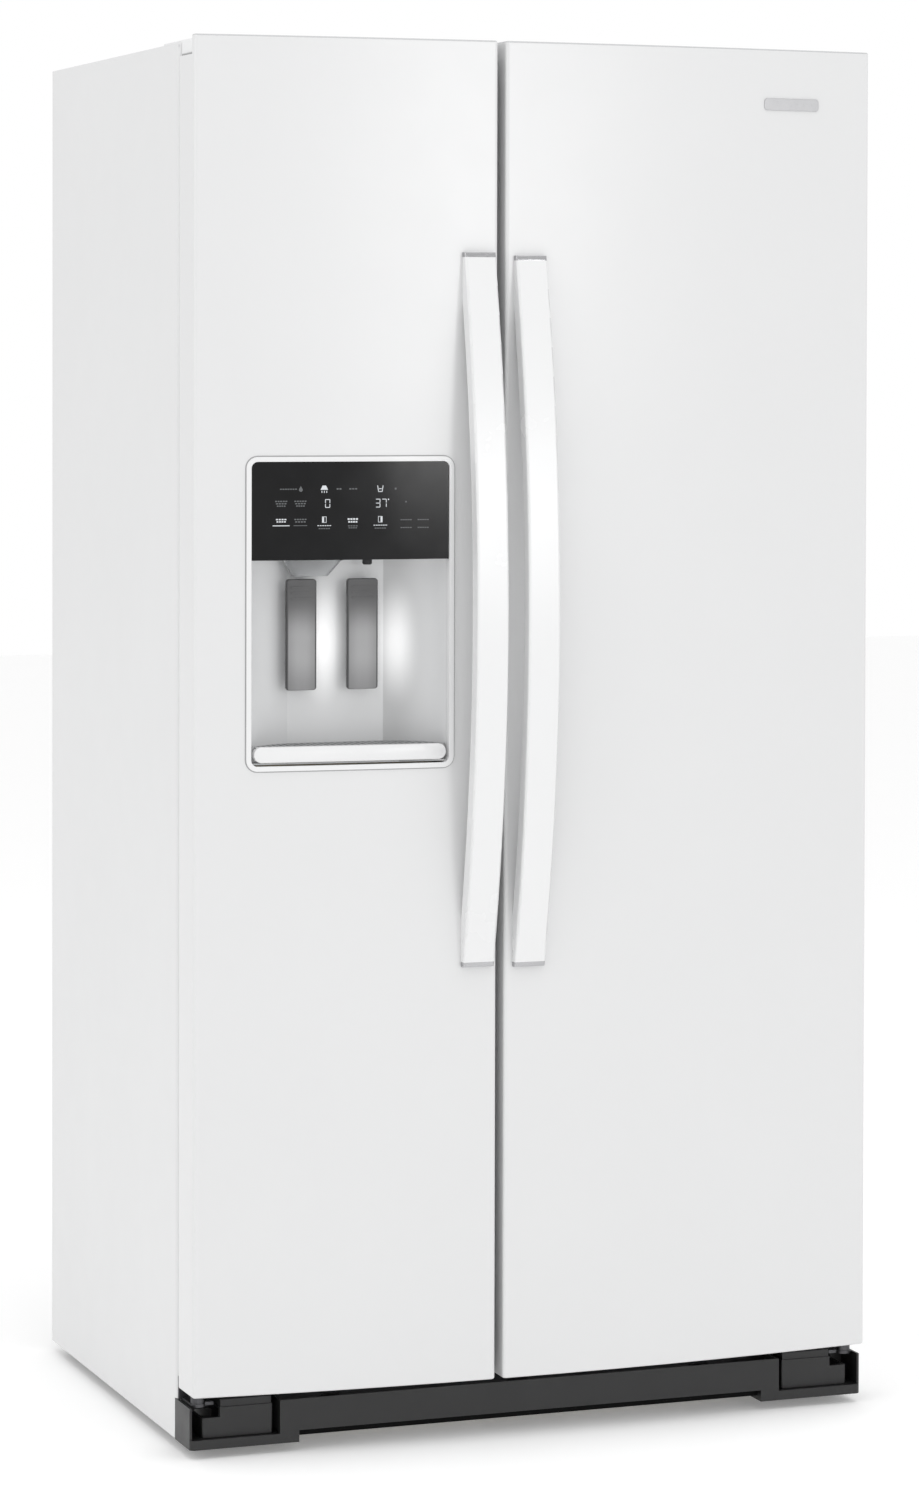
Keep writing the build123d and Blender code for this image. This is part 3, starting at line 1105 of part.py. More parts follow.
# ---------------------------------------------------------------- dispenser
bezel_rim = bowed_slab((-420, -90), -2.0, 0.0, (800, 1300))
bezel_wall = bowed_slab((-420, -90), 0.0, 6.0, (800, 1300))
bezel_outside = front_window(BEZEL_X, BEZEL_Z, BEZEL_RADIUS)
bezel_throat = front_window(inside(BEZEL_X, SKIN_OPENING + 0.2), inside(BEZEL_Z, SKIN_OPENING + 0.2), 10.8)
INNER_RADIUS = BEZEL_RADIUS - BEZEL_WIDTH
bezel_inside = front_window(inside(BEZEL_X, BEZEL_WIDTH), inside(BEZEL_Z, BEZEL_WIDTH), INNER_RADIUS)
with BuildPart() as throat_ring:
    add(bezel_wall)
    add(bezel_throat, mode=Mode.INTERSECT)
with BuildPart() as dispenser_bezel:
    add(bezel_rim)
    add(bezel_outside, mode=Mode.INTERSECT)
    add(throat_ring.part)
    add(bezel_inside, mode=Mode.SUBTRACT)
save(dispenser_bezel, "dispenser_bezel")

PANEL_GAP = 0.3
panel_slab = bowed_slab((-420, -90), 0.5, 4.5, (NICHE_Z[1], BEZEL_Z[1] + 10))
panel_window_z = (NICHE_Z[1] - 30, BEZEL_Z[1] - BEZEL_WIDTH - PANEL_GAP)
panel_window = front_window(inside(NICHE_X, PANEL_GAP), panel_window_z, INNER_RADIUS)
with BuildPart() as dispenser_panel:
    add(panel_slab)
    add(panel_window, mode=Mode.INTERSECT)
save(dispenser_panel, "dispenser_panel")

ELECTRONICS_X = (-376.0, -134.0)
ELECTRONICS_Z = (NICHE_Z[1], 1216.0)
with BuildPart() as dispenser_niche:
    add(niche_block)
    block(ELECTRONICS_X, (-330, ELECTRONICS_Y), ELECTRONICS_Z)
    add(niche_space, mode=Mode.SUBTRACT)
    electronics_y = (-331, ELECTRONICS_Y - PANEL_WALL)
    block(inside(ELECTRONICS_X, PANEL_WALL), electronics_y, inside(ELECTRONICS_Z, PANEL_WALL), Mode.SUBTRACT)
    add(niche_front_limit, mode=Mode.INTERSECT)
    # openings in the recess's ceiling for the chute and the water nozzle
    block(CHUTE_X, CHUTE_Y, (NICHE_Z[1] - 1, NICHE_Z[1] + 4), Mode.SUBTRACT)
    rod((NOZZLE_X, NOZZLE_Y, NICHE_Z[1]), NOZZLE_RADIUS + PIN_CLEARANCE, 10, "Z", Mode.SUBTRACT)
    # two ears behind each paddle hold its pivot pin
    ear_y = (PADDLE_PIVOT_Y - 4, NICHE_BACK_Y + 1)
    ear_z = (PADDLE_PIVOT_Z - 5, PADDLE_PIVOT_Z + 5)
    for x in (ICE_PADDLE_X, WATER_PADDLE_X):
        for ear_x in (x[0] + 6, x[1] - 9):
            block((ear_x, ear_x + 3), ear_y, ear_z)
            rod((ear_x, PADDLE_PIVOT_Y, PADDLE_PIVOT_Z), PADDLE_PIN + PIN_CLEARANCE, 20, "X", Mode.SUBTRACT)
save(dispenser_niche, "dispenser_niche")

with BuildPart() as water_nozzle:
    rod((NOZZLE_X, NOZZLE_Y, NICHE_Z[1] - 1.5), NOZZLE_RADIUS, 13, "Z")
    chamfer(water_nozzle.faces().sort_by(Axis.Z)[0].edges(), length=1.5)
    rod((NOZZLE_X, NOZZLE_Y, NICHE_Z[1]), 2.0, 30, "Z", Mode.SUBTRACT)
save(water_nozzle, "water_nozzle")

PADDLE_THICKNESS = 5.0
for paddle_name, x in (("ice_paddle", ICE_PADDLE_X), ("water_paddle", WATER_PADDLE_X)):
    with BuildPart() as paddle:
        with BuildSketch(Plane.XZ.offset(-PADDLE_Y)):
            with Locations((sum(x) / 2, sum(PADDLE_Z) / 2)):
                RectangleRounded(x[1] - x[0], PADDLE_Z[1] - PADDLE_Z[0], 4)
        extrude(amount=PADDLE_THICKNESS)
        fillet(paddle.faces().sort_by(Axis.Y)[0].edges(), radius=1.2)
        # grip ribs across the top of the face
        rib_y = (PADDLE_Y - PADDLE_THICKNESS - 0.8, PADDLE_Y - PADDLE_THICKNESS + 1)
        for rib in range(3):
            block(inside(x, 6), rib_y, (1050 + rib * 7, 1052 + rib * 7))
        # boss behind the head, with the pivot pin through it
        boss_z = (PADDLE_PIVOT_Z - 6, PADDLE_PIVOT_Z + 4)
        block(inside(x, 11), (PADDLE_Y - 1, PADDLE_PIVOT_Y + 3), boss_z)
        rod((sum(x) / 2, PADDLE_PIVOT_Y, PADDLE_PIVOT_Z), PADDLE_PIN, x[1] - x[0] - 10, "X")
    save(paddle, paddle_name)

tray_face = bowed_slab((-420, -90), -1.0, 9.0, (800, 900))
tray_pill = front_window((-376.5, -133.5), TRAY_Z, (TRAY_Z[1] - TRAY_Z[0]) / 2 - 0.1)
DISH_TOP = TRAY_Z[1] - 0.4
GRILLE_BARS = 30
GRILLE_PITCH = 8.0
tray_dish = niche_bar(-2.0, (TRAY_Z[0], DISH_TOP))
tray_hollow = niche_bar(-4.5, (TRAY_Z[0] + 3, TRAY_Z[1]))
tray_front_limit = bowed_slab((-420, -90), 9.0, 120, (800, 900))
tray_hollow_limit = bowed_slab((-420, -90), 12.0, 120, (800, 900))
with BuildPart() as tray_cavity:
    add(tray_hollow)
    add(tray_hollow_limit, mode=Mode.INTERSECT)
with BuildPart() as tray_body:
    add(tray_dish)
    add(tray_front_limit, mode=Mode.INTERSECT)
    add(tray_cavity.part, mode=Mode.SUBTRACT)
    # grille bars across the dish
    for index in range(GRILLE_BARS):
        x = NICHE_X[0] + 8 + index * GRILLE_PITCH
        block((x, x + GRILLE_PITCH / 2), (-292, NICHE_BACK_Y - 8), (DISH_TOP - 3, DISH_TOP))
    add(tray_dish, mode=Mode.INTERSECT)
with BuildPart() as drip_tray:
    add(tray_face)
    add(tray_pill, mode=Mode.INTERSECT)
    add(tray_body.part)
save(drip_tray, "drip_tray")

FLAP_Y = -232.5
with BuildPart() as chute_flap:
    block(inside(CHUTE_X, 4), (FLAP_Y - 2, FLAP_Y), (CHUTE_INLET_Z[0] + 2, CHUTE_INLET_Z[1] - 3))
    rod((sum(CHUTE_X) / 2, FLAP_Y - 1, CHUTE_INLET_Z[1] - 3), 2.0, CHUTE_X[1] - CHUTE_X[0] - 6, "X")
save(chute_flap, "chute_flap")
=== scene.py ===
import json
import math

import bmesh
import bpy
from mathutils import Euler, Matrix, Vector
from mathutils.bvhtree import BVHTree


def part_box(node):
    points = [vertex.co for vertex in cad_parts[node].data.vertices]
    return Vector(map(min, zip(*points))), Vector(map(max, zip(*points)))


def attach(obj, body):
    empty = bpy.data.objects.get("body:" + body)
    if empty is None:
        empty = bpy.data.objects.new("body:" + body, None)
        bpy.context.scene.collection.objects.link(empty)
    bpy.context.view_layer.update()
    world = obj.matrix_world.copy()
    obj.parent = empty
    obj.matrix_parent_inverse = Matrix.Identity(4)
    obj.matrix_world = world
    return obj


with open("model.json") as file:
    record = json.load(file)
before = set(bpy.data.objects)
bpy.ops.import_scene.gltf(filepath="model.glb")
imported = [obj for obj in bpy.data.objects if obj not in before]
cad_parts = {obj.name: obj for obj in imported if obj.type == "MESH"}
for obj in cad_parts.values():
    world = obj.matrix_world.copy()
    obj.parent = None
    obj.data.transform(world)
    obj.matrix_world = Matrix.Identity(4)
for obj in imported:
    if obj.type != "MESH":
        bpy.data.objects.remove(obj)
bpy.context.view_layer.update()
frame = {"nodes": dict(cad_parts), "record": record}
nodes = frame["nodes"]

MM = 0.001


# ---------------------------------------------------------------- places taken from the frame
def span(node):
    """The lowest and highest corner of a CAD node, as two tuples in metres."""
    low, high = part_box(node)
    return tuple(low), tuple(high)


AHEAD_OF_ALL = -2.0
node_trees = {}


def first_hit(node, start, direction):
    """The first point of a CAD node that a ray meets."""
    if node not in node_trees:
        mesh = nodes[node].data
        node_trees[node] = BVHTree.FromPolygons(
            [v.co for v in mesh.vertices], [p.vertices for p in mesh.polygons]
        )
    return node_trees[node].ray_cast(Vector(start), Vector(direction))[0]


def surface(node, x, z):
    """The y of a node's front surface at (x, z)."""
    return first_hit(node, (x, AHEAD_OF_ALL, z), (0, 1, 0)).y


def ceiling_z(node, start):
    """The height of a node's surface straight above a point."""
    return first_hit(node, start, (0, 0, 1)).z


# ---------------------------------------------------------------- material building blocks
def start_material(name, colour, roughness, **sockets):
    """A Principled material with its uniform values on the shader's own sockets."""
    material = bpy.data.materials.new(name)
    material.use_nodes = True
    shader = material.node_tree.nodes["Principled BSDF"]
    shader.inputs["Base Color"].default_value = (*colour, 1.0)
    shader.inputs["Roughness"].default_value = roughness
    for socket, value in sockets.items():
        shader.inputs[socket.replace("_", " ")].default_value = value
    return material


def shader_of(material):
    return material.node_tree.nodes["Principled BSDF"]


def add_node(material, kind, **values):
    """A new node, with plain values set on its inputs and properties."""
    node = material.node_tree.nodes.new(kind)
    for key, value in values.items():
        socket = node.inputs.get(key.replace("_", " "))
        if socket is not None:
            socket.default_value = value
        else:
            setattr(node, key, value)
    return node


def link(material, out_socket, in_socket):
    material.node_tree.links.new(out_socket, in_socket)


def place(material, stretch=(1.0, 1.0, 1.0)):
    """The point on the piece in the row frame, in metres, scaled along each axis."""
    coordinates = add_node(material, "ShaderNodeTexCoord")
    mapping = add_node(material, "ShaderNodeMapping")
    mapping.inputs["Scale"].default_value = stretch
    link(material, coordinates.outputs["Object"], mapping.inputs["Vector"])
    return mapping.outputs["Vector"]


def noise(material, scale, detail=3.0, stretch=(1.0, 1.0, 1.0)):
    """Noise with scale features to the metre."""
    node = add_node(material, "ShaderNodeTexNoise", Scale=scale, Detail=detail)
    link(material, place(material, stretch), node.inputs["Vector"])
    return node.outputs["Fac"]


def cells(material, scale, feature="F1", output="Distance"):
    """Voronoi cells, scale of them to the metre."""
    node = add_node(material, "ShaderNodeTexVoronoi", feature=feature, Scale=scale)
    link(material, place(material), node.inputs["Vector"])
    return node.outputs[output]


def axis_value(material, axis):
    """One coordinate of the point, in metres."""
    split = add_node(material, "ShaderNodeSeparateXYZ")
    link(material, place(material), split.inputs["Vector"])
    return split.outputs[axis]


def remap(material, factor, low, high, to_low, to_high, smooth=False):
    """Carries the range low..high of a value on to to_low..to_high, and holds it there."""
    node = add_node(material, "ShaderNodeMapRange")
    node.interpolation_type = "SMOOTHSTEP" if smooth else "LINEAR"
    node.inputs["From Min"].default_value = low
    node.inputs["From Max"].default_value = high
    node.inputs["To Min"].default_value = to_low
    node.inputs["To Max"].default_value = to_high
    link(material, factor, node.inputs["Value"])
    return node.outputs["Result"]


def math_node(material, operation, first, second):
    node = add_node(material, "ShaderNodeMath", operation=operation)
    for index, value in enumerate((first, second)):
        if isinstance(value, (int, float)):
            node.inputs[index].default_value = value
        else:
            link(material, value, node.inputs[index])
    return node.outputs["Value"]


def tint(material, factor, dark, light):
    """Blends the base colour from dark to light along a 0..1 value."""
    mix = add_node(material, "ShaderNodeMix", data_type="RGBA")
    factor_input, dark_input, light_input, colour_output = 0, 6, 7, 2
    mix.inputs[dark_input].default_value = (*dark, 1.0)
    mix.inputs[light_input].default_value = (*light, 1.0)
    link(material, factor, mix.inputs[factor_input])
    link(material, mix.outputs[colour_output], shader_of(material).inputs["Base Color"])


def wander(material, pattern, low, high):
    """Carries the part of a noise that it mostly stays in on to low..high."""
    return remap(material, pattern, 0.3, 0.7, low, high)


def shaded(colour, share):
    return tuple(min(1.0, share * c) for c in colour)


def mottle(material, colour, amount, scale, detail=3.0):
    """Slight uneven tone around one colour."""
    factor = wander(material, noise(material, scale, detail), 0, 1)
    tint(material, factor, shaded(colour, 1 - amount), shaded(colour, 1 + amount))


def vary_gloss(material, low, high, scale, detail=4.0):
    """Roughness that wanders between two values, as handling and moulding leave it."""
    factor = wander(material, noise(material, scale, detail), low, high)
    link(material, factor, shader_of(material).inputs["Roughness"])


def bump(material, height, depth, strength=1.0):
    """Relief of the given depth in metres, laid over any relief already there."""
    node = add_node(material, "ShaderNodeBump", Strength=strength, Distance=depth)
    link(material, height, node.inputs["Height"])
    normal = shader_of(material).inputs["Normal"]
    if normal.is_linked:
        link(material, normal.links[0].from_socket, node.inputs["Normal"])
    link(material, node.outputs["Normal"], normal)


# ---------------------------------------------------------------- materials
def enamel(name, colour, peel_depth, roughness):
    """Baked gloss enamel on sheet steel: orange peel over the sheet's own slow waviness."""
    material = start_material(name, colour, roughness, Coat_Weight=0.2, Coat_Roughness=0.22)
    mottle(material, colour, 0.004, 6.0)
    vary_gloss(material, roughness - 0.02, roughness + 0.02, 14.0)
    bump(material, noise(material, 1.6, 0.0), 0.4 * MM, 0.10)
    bump(material, noise(material, 420.0, 2.0), peel_depth)
    return material


def textured_enamel(name, colour):
    """The cabinet's side finish: enamel over a fine leather-like stipple."""
    material = start_material(name, colour, 0.42, Coat_Weight=0.15, Coat_Roughness=0.2)
    mottle(material, colour, 0.006, 5.0)
    vary_gloss(material, 0.38, 0.48, 20.0)
    bump(material, cells(material, 620.0, "SMOOTH_F1"), 0.05 * MM, 0.6)
    return material


def moulded(name, colour, roughness, grain=900.0, grain_depth=0.015 * MM, **sockets):
    """Moulded plastic: fine spark grain, faint flow marks and handling marks."""
    material = start_material(name, colour, roughness, **sockets)
    mottle(material, colour, 0.012, 9.0)
    vary_gloss(material, max(0.02, roughness - 0.04), roughness + 0.05, 30.0)
    bump(material, noise(material, grain, 2.0), grain_depth, 0.6)
    return material


def clear_moulding(name, colour, roughness):
    """Clear styrene: faint tint, hairline scratches and moulding waves."""
    material = start_material(name, colour, roughness, Transmission_Weight=0.9, IOR=1.52)
    vary_gloss(material, roughness, roughness + 0.10, 24.0)
    bump(material, noise(material, 40.0, 2.0), 0.05 * MM, 0.5)
    bump(material, noise(material, 700.0, 2.0, (1.0, 0.12, 1.0)), 0.01 * MM)
    return material


def galvanised(name, colour, roughness):
    """Zinc-coated sheet: flat crystals of slightly different tone and gloss."""
    material = start_material(name, colour, roughness, Metallic=0.9)
    crystal = cells(material, 70.0, output="Color")
    grey = add_node(material, "ShaderNodeRGBToBW")
    link(material, crystal, grey.inputs["Color"])
    tint(material, grey.outputs["Val"], shaded(colour, 0.86), colour)
    gloss = remap(material, grey.outputs["Val"], 0.2, 0.8, roughness - 0.06, roughness + 0.10)
    link(material, gloss, shader_of(material).inputs["Roughness"])
    bump(material, noise(material, 300.0, 4.0), 0.02 * MM)
    return material


def brushed(name, colour, roughness, stretch, scale):
    """Brushed or drawn metal, with the scratches running along the shortest stretch."""
    material = start_material(name, colour, roughness, Metallic=1.0, Anisotropic=0.5)
    mottle(material, colour, 0.05, 30.0)
    lines = noise(material, scale, 4.0, stretch)
    gloss = wander(material, lines, roughness - 0.08, roughness + 0.10)
    link(material, gloss, shader_of(material).inputs["Roughness"])
    bump(material, lines, 0.01 * MM)
    return material


def painted_steel(name, colour, roughness):
    """Satin paint on a stamped or drawn steel part, with dust in the grain."""
    material = start_material(name, colour, roughness, Coat_Weight=0.2, Coat_Roughness=0.3)
    mottle(material, colour, 0.18, 26.0, 5.0)
    vary_gloss(material, roughness - 0.1, roughness + 0.15, 40.0)
    bump(material, noise(material, 500.0, 3.0), 0.03 * MM)
    return material


def rubber(name, colour):
    """Soft seal material: matt, with a slight bloom on its surface."""
    material = start_material(name, colour, 0.62, Sheen_Weight=0.12, Sheen_Roughness=0.5)
    mottle(material, colour, 0.05, 60.0)
    vary_gloss(material, 0.52, 0.72, 90.0)
    bump(material, noise(material, 1400.0, 2.0), 0.02 * MM)
    return material


def rigid_foam(name, colour):
    """Urethane foam: pale, with open pores and slow browning."""
    material = start_material(name, colour, 0.85, Subsurface_Weight=0.08, Subsurface_Scale=0.003)
    mottle(material, colour, 0.10, 12.0, 5.0)
    bump(material, cells(material, 520.0), 0.4 * MM, 0.7)
    return material


GLASS_BLACK = (0.004, 0.004, 0.0045)


def dark_glass(name):
    """The control panel's glass: nearly black, polished, with faint finger marks."""
    material = start_material(name, GLASS_BLACK, 0.12, Specular_IOR_Level=0.26)
    mottle(material, GLASS_BLACK, 0.3, 30.0)
    vary_gloss(material, 0.10, 0.14, 22.0, 5.0)
    bump(material, noise(material, 5.0, 1.0), 0.2 * MM, 0.1)
    return material


def float_glass(name):
    """Shelf glass: clear, faintly green, with the slight ripple of tempering."""
    material = start_material(name, (0.86, 0.95, 0.92), 0.03, Transmission_Weight=0.96, IOR=1.5)
    vary_gloss(material, 0.02, 0.07, 18.0)
    bump(material, noise(material, 9.0, 1.0), 0.1 * MM, 0.25)
    return material


# two spots of glow painted on the niche's rear wall, standing in for pools of lamp light
PAINTED_GLOW_CENTRES = ((-270 * MM, 996 * MM), (-177 * MM, 995 * MM))
PAINTED_GLOW_HALVES = (34 * MM, 88 * MM)
PAINTED_GLOW_STRENGTH = 0.50
PAINTED_GLOW_DEPTH = (30 * MM, 8 * MM)
# where the painted shade on the niche's right-hand wall begins and fades out
NICHE_CORNER_X = -191.5 * MM
NICHE_CORNER_SOFTNESS = 0.8 * MM
NICHE_WALL_SHADE = 0.76
RIGHT_WALL_X = (-180 * MM, -135 * MM)


def soft_ellipse(material, x, z, centre, halves):
    """1 at the middle of an upright ellipse, falling softly to 0 at its edge."""
    squares = []
    for value, middle, half in zip((x, z), centre, halves):
        offset = math_node(material, "DIVIDE", math_node(material, "SUBTRACT", value, middle), half)
        squares.append(math_node(material, "MULTIPLY", offset, offset))
    distance = math_node(material, "SQRT", math_node(material, "ADD", *squares), 0.0)
    return remap(material, distance, 1.0, 0.0, 0.0, 1.0, True)


def niche_with_painted_light(name, colour):
    """Satin plastic of the dispenser's recess, with two soft pools of lamp light painted as glow on its rear
    wall and painted shade on its right-hand wall.
    """
    material = moulded(name, colour, 0.38, 700.0)
    x, y, z = (axis_value(material, axis) for axis in "XYZ")
    # painted shade: the right-hand wall starts darker than the rear wall and grows paler towards the front
    low_x, high_x = NICHE_CORNER_X - NICHE_CORNER_SOFTNESS, NICHE_CORNER_X + NICHE_CORNER_SOFTNESS
    corner = remap(material, x, low_x, high_x, 0.0, 1.0, True)
    fade = remap(material, x, *RIGHT_WALL_X, 1.0, 0.0, True)
    shade = math_node(material, "MULTIPLY", corner, fade)
    tint(material, shade, colour, shaded(colour, NICHE_WALL_SHADE))
    # painted light: two soft glowing spots on the rear wall, standing in for lamp light falling on it
    spots = [soft_ellipse(material, x, z, centre, PAINTED_GLOW_HALVES) for centre in PAINTED_GLOW_CENTRES]
    glow = math_node(material, "MAXIMUM", *spots)
    back_y = span("dispenser_niche")[1][1]
    near_back = remap(material, y, back_y - PAINTED_GLOW_DEPTH[0], back_y - PAINTED_GLOW_DEPTH[1], 0.0, 1.0, True)
    lit = math_node(material, "MULTIPLY", glow, near_back)
    strength = math_node(material, "MULTIPLY", lit, PAINTED_GLOW_STRENGTH)
    shader_of(material).inputs["Emission Color"].default_value = (1.0, 1.0, 1.0, 1.0)
    link(material, strength, shader_of(material).inputs["Emission Strength"])
    return material


COVER_WHITE = (0.80, 0.803, 0.806)
COVER_FOOT = 4 * MM
COVER_FOOT_SHADE = 0.35


def cover_with_painted_shade(name, colour):
    """The hinge covers' white plastic, with painted shade darkening it along their lower edge."""
    material = moulded(name, colour, 0.4)
    foot = span("hinge_covers")[0][2]
    height = axis_value(material, "Z")
    # painted shade: the lowest few millimetres of the covers turn darker
    shade = remap(material, height, foot + COVER_FOOT / 4, foot + COVER_FOOT, 1.0, 0.0, True)
    tint(material, shade, colour, shaded(colour, COVER_FOOT_SHADE))
    return material


PADDLE_DARK = (0.040, 0.040, 0.042)
PADDLE_LIGHT = (0.33, 0.33, 0.335)
PADDLE_PALEST = 0.42
PADDLE_RIM = (3.0 * MM, 1.2 * MM)


def smoked_with_painted_light(name, node):
    """A translucent grey paddle with painted light: a painted pale glow below its middle as if lit from
    behind, and a painted dark rim and dark top as shade.
    """
    material = start_material(name, PADDLE_LIGHT, 0.34, Coat_Weight=0.3, Coat_Roughness=0.15)
    low, high = span(node)
    width, height = high[0] - low[0], high[2] - low[2]
    palest_z = low[2] + PADDLE_PALEST * height
    across = math_node(material, "SUBTRACT", axis_value(material, "X"), (low[0] + high[0]) / 2)
    along = math_node(material, "SUBTRACT", axis_value(material, "Z"), palest_z)
    from_side = math_node(material, "ABSOLUTE", across, 0.0)
    from_middle = math_node(material, "ABSOLUTE", along, 0.0)
    rim_start, rim_end = (width / 2 - inset for inset in PADDLE_RIM)
    rim = remap(material, from_side, rim_start, rim_end, 1.0, 0.0, True)
    soft_side = remap(material, from_side, 0.1 * width, 0.5 * width, 1.0, 0.72, True)
    soft_ends = remap(material, from_middle, 0.1 * height, 0.42 * height, 1.0, 0.62, True)
    top = remap(material, along, 0.04 * height, 0.50 * height, 1.0, 0.06, True)
    centre = math_node(material, "MULTIPLY", soft_side, soft_ends)
    edges = math_node(material, "MULTIPLY", rim, top)
    # painted light and shade: palest in the middle as if lit from behind, darker at the rim and the top
    tint(material, math_node(material, "MULTIPLY", centre, edges), PADDLE_DARK, PADDLE_LIGHT)
    vary_gloss(material, 0.28, 0.42, 40.0)
    bump(material, noise(material, 800.0, 2.0), 0.02 * MM)
    return material


def fins(name, colour):
    """A finned coil: close aluminium fins seen edge on, in bands with painted shade for the gaps between
    them, with frost-dulled faces.
    """
    material = start_material(name, colour, 0.38, Metallic=0.85)
    wave = add_node(material, "ShaderNodeTexWave", wave_type="BANDS", bands_direction="X")
    wave.inputs["Scale"].default_value = 55.0
    wave.inputs["Distortion"].default_value = 0.4
    link(material, place(material), wave.inputs["Vector"])
    # painted shade: the dark bands stand for the shaded gaps between the fins
    tint(material, wave.outputs["Fac"], shaded(colour, 0.45), colour)
    bump(material, wave.outputs["Fac"], 1.2 * MM, 0.8)
    bump(material, noise(material, 200.0, 4.0), 0.05 * MM)
    return material


def glowing(name, colour, strength, roughness=0.3):
    """A printed mark or a lamp lens that gives its own light, a little uneven."""
    material = moulded(name, colour, roughness, 500.0)
    shader_of(material).inputs["Emission Color"].default_value = (*colour, 1.0)
    level = wander(material, noise(material, 90.0), strength * 0.88, strength * 1.08)
    link(material, level, shader_of(material).inputs["Emission Strength"])
    return material


WHITE = (0.712, 0.714, 0.717)
look = {
    "door_enamel": enamel("door_enamel", WHITE, 0.02 * MM, 0.30),
    "side_enamel": textured_enamel("side_enamel", (0.72, 0.722, 0.725)),
    "handle_enamel": enamel("handle_enamel", (0.78, 0.783, 0.786), 0.008 * MM, 0.26),
    "handle_metal": brushed("handle_metal", (0.46, 0.46, 0.47), 0.26, (0.08, 1.0, 1.0), 500.0),
    "badge_metal": brushed("badge_metal", (0.52, 0.52, 0.53), 0.34, (0.02, 1.0, 1.0), 4000.0),
    "door_top_edge_shade": moulded("door_top_edge_shade", (0.50, 0.505, 0.51), 0.40),
    "hinge_steel": brushed("hinge_steel", (0.095, 0.095, 0.10), 0.40, (1.0, 1.0, 0.1), 300.0),
    "seam_grey": moulded("seam_grey", (0.36, 0.36, 0.365), 0.45),
    "notch_painted_shade": moulded("notch_painted_shade", (0.30, 0.30, 0.305), 0.5),
    "cover_plastic": cover_with_painted_shade("cover_plastic", COVER_WHITE),
    "skirt_painted_shade": moulded("skirt_painted_shade", (0.003, 0.003, 0.003), 0.7, Specular_IOR_Level=0.1),
    "white_plastic": moulded("white_plastic", (0.77, 0.772, 0.775), 0.34, Coat_Weight=0.15),
    "liner_plastic": moulded("liner_plastic", (0.82, 0.822, 0.82), 0.32, 900.0, 0.012 * MM, Coat_Weight=0.1),
    "grey_plastic": moulded("grey_plastic", (0.30, 0.30, 0.305), 0.45),
    "charcoal_plastic": moulded("charcoal_plastic", (0.0105, 0.0105, 0.011), 0.42, 1100.0, 0.03 * MM),
    "black_plastic": moulded("black_plastic", (0.012, 0.012, 0.013), 0.50, 1000.0, 0.03 * MM),
    "roller_plastic": moulded("roller_plastic", (0.05, 0.05, 0.052), 0.55, 800.0, 0.05 * MM),
    "niche_plastic": niche_with_painted_light("niche_plastic", (0.70, 0.705, 0.71)),
    "ice_paddle_plastic": smoked_with_painted_light("ice_paddle_plastic", "ice_paddle"),
    "water_paddle_plastic": smoked_with_painted_light("water_paddle_plastic", "water_paddle"),
    "tray_grey": moulded("tray_grey", (0.34, 0.345, 0.35), 0.36),
    "clear_plastic": clear_moulding("clear_plastic", (0.93, 0.96, 0.98), 0.06),
    "chute_plastic": clear_moulding("chute_plastic", (0.86, 0.87, 0.88), 0.18),
    "shelf_glass": float_glass("shelf_glass"),
    "panel_glass": dark_glass("panel_glass"),
    "zinc_sheet": galvanised("zinc_sheet", (0.56, 0.57, 0.58), 0.42),
    "black_steel": painted_steel("black_steel", (0.020, 0.020, 0.022), 0.45),
    "compressor_black": painted_steel("compressor_black", (0.012, 0.012, 0.013), 0.32),
    "coated_wire": painted_steel("coated_wire", (0.78, 0.78, 0.78), 0.32),
    "bare_steel": brushed("bare_steel", (0.48, 0.48, 0.49), 0.34, (1.0, 1.0, 0.1), 300.0),
    "coil_fins": fins("coil_fins", (0.66, 0.67, 0.68)),
    "seal_rubber": rubber("seal_rubber", (0.60, 0.60, 0.59)),
    "foam": rigid_foam("foam", (0.80, 0.72, 0.50)),
    "mark_bright": glowing("mark_bright", (0.52, 0.54, 0.56), 0.26),
    # faint unlit print that still gets a painted glow of its own
    "mark_faint_painted_glow": glowing("mark_faint_painted_glow", (0.10, 0.105, 0.11), 0.03),
    "lamp_lens": glowing("lamp_lens", (0.92, 0.93, 0.95), 0.9, 0.25),
}

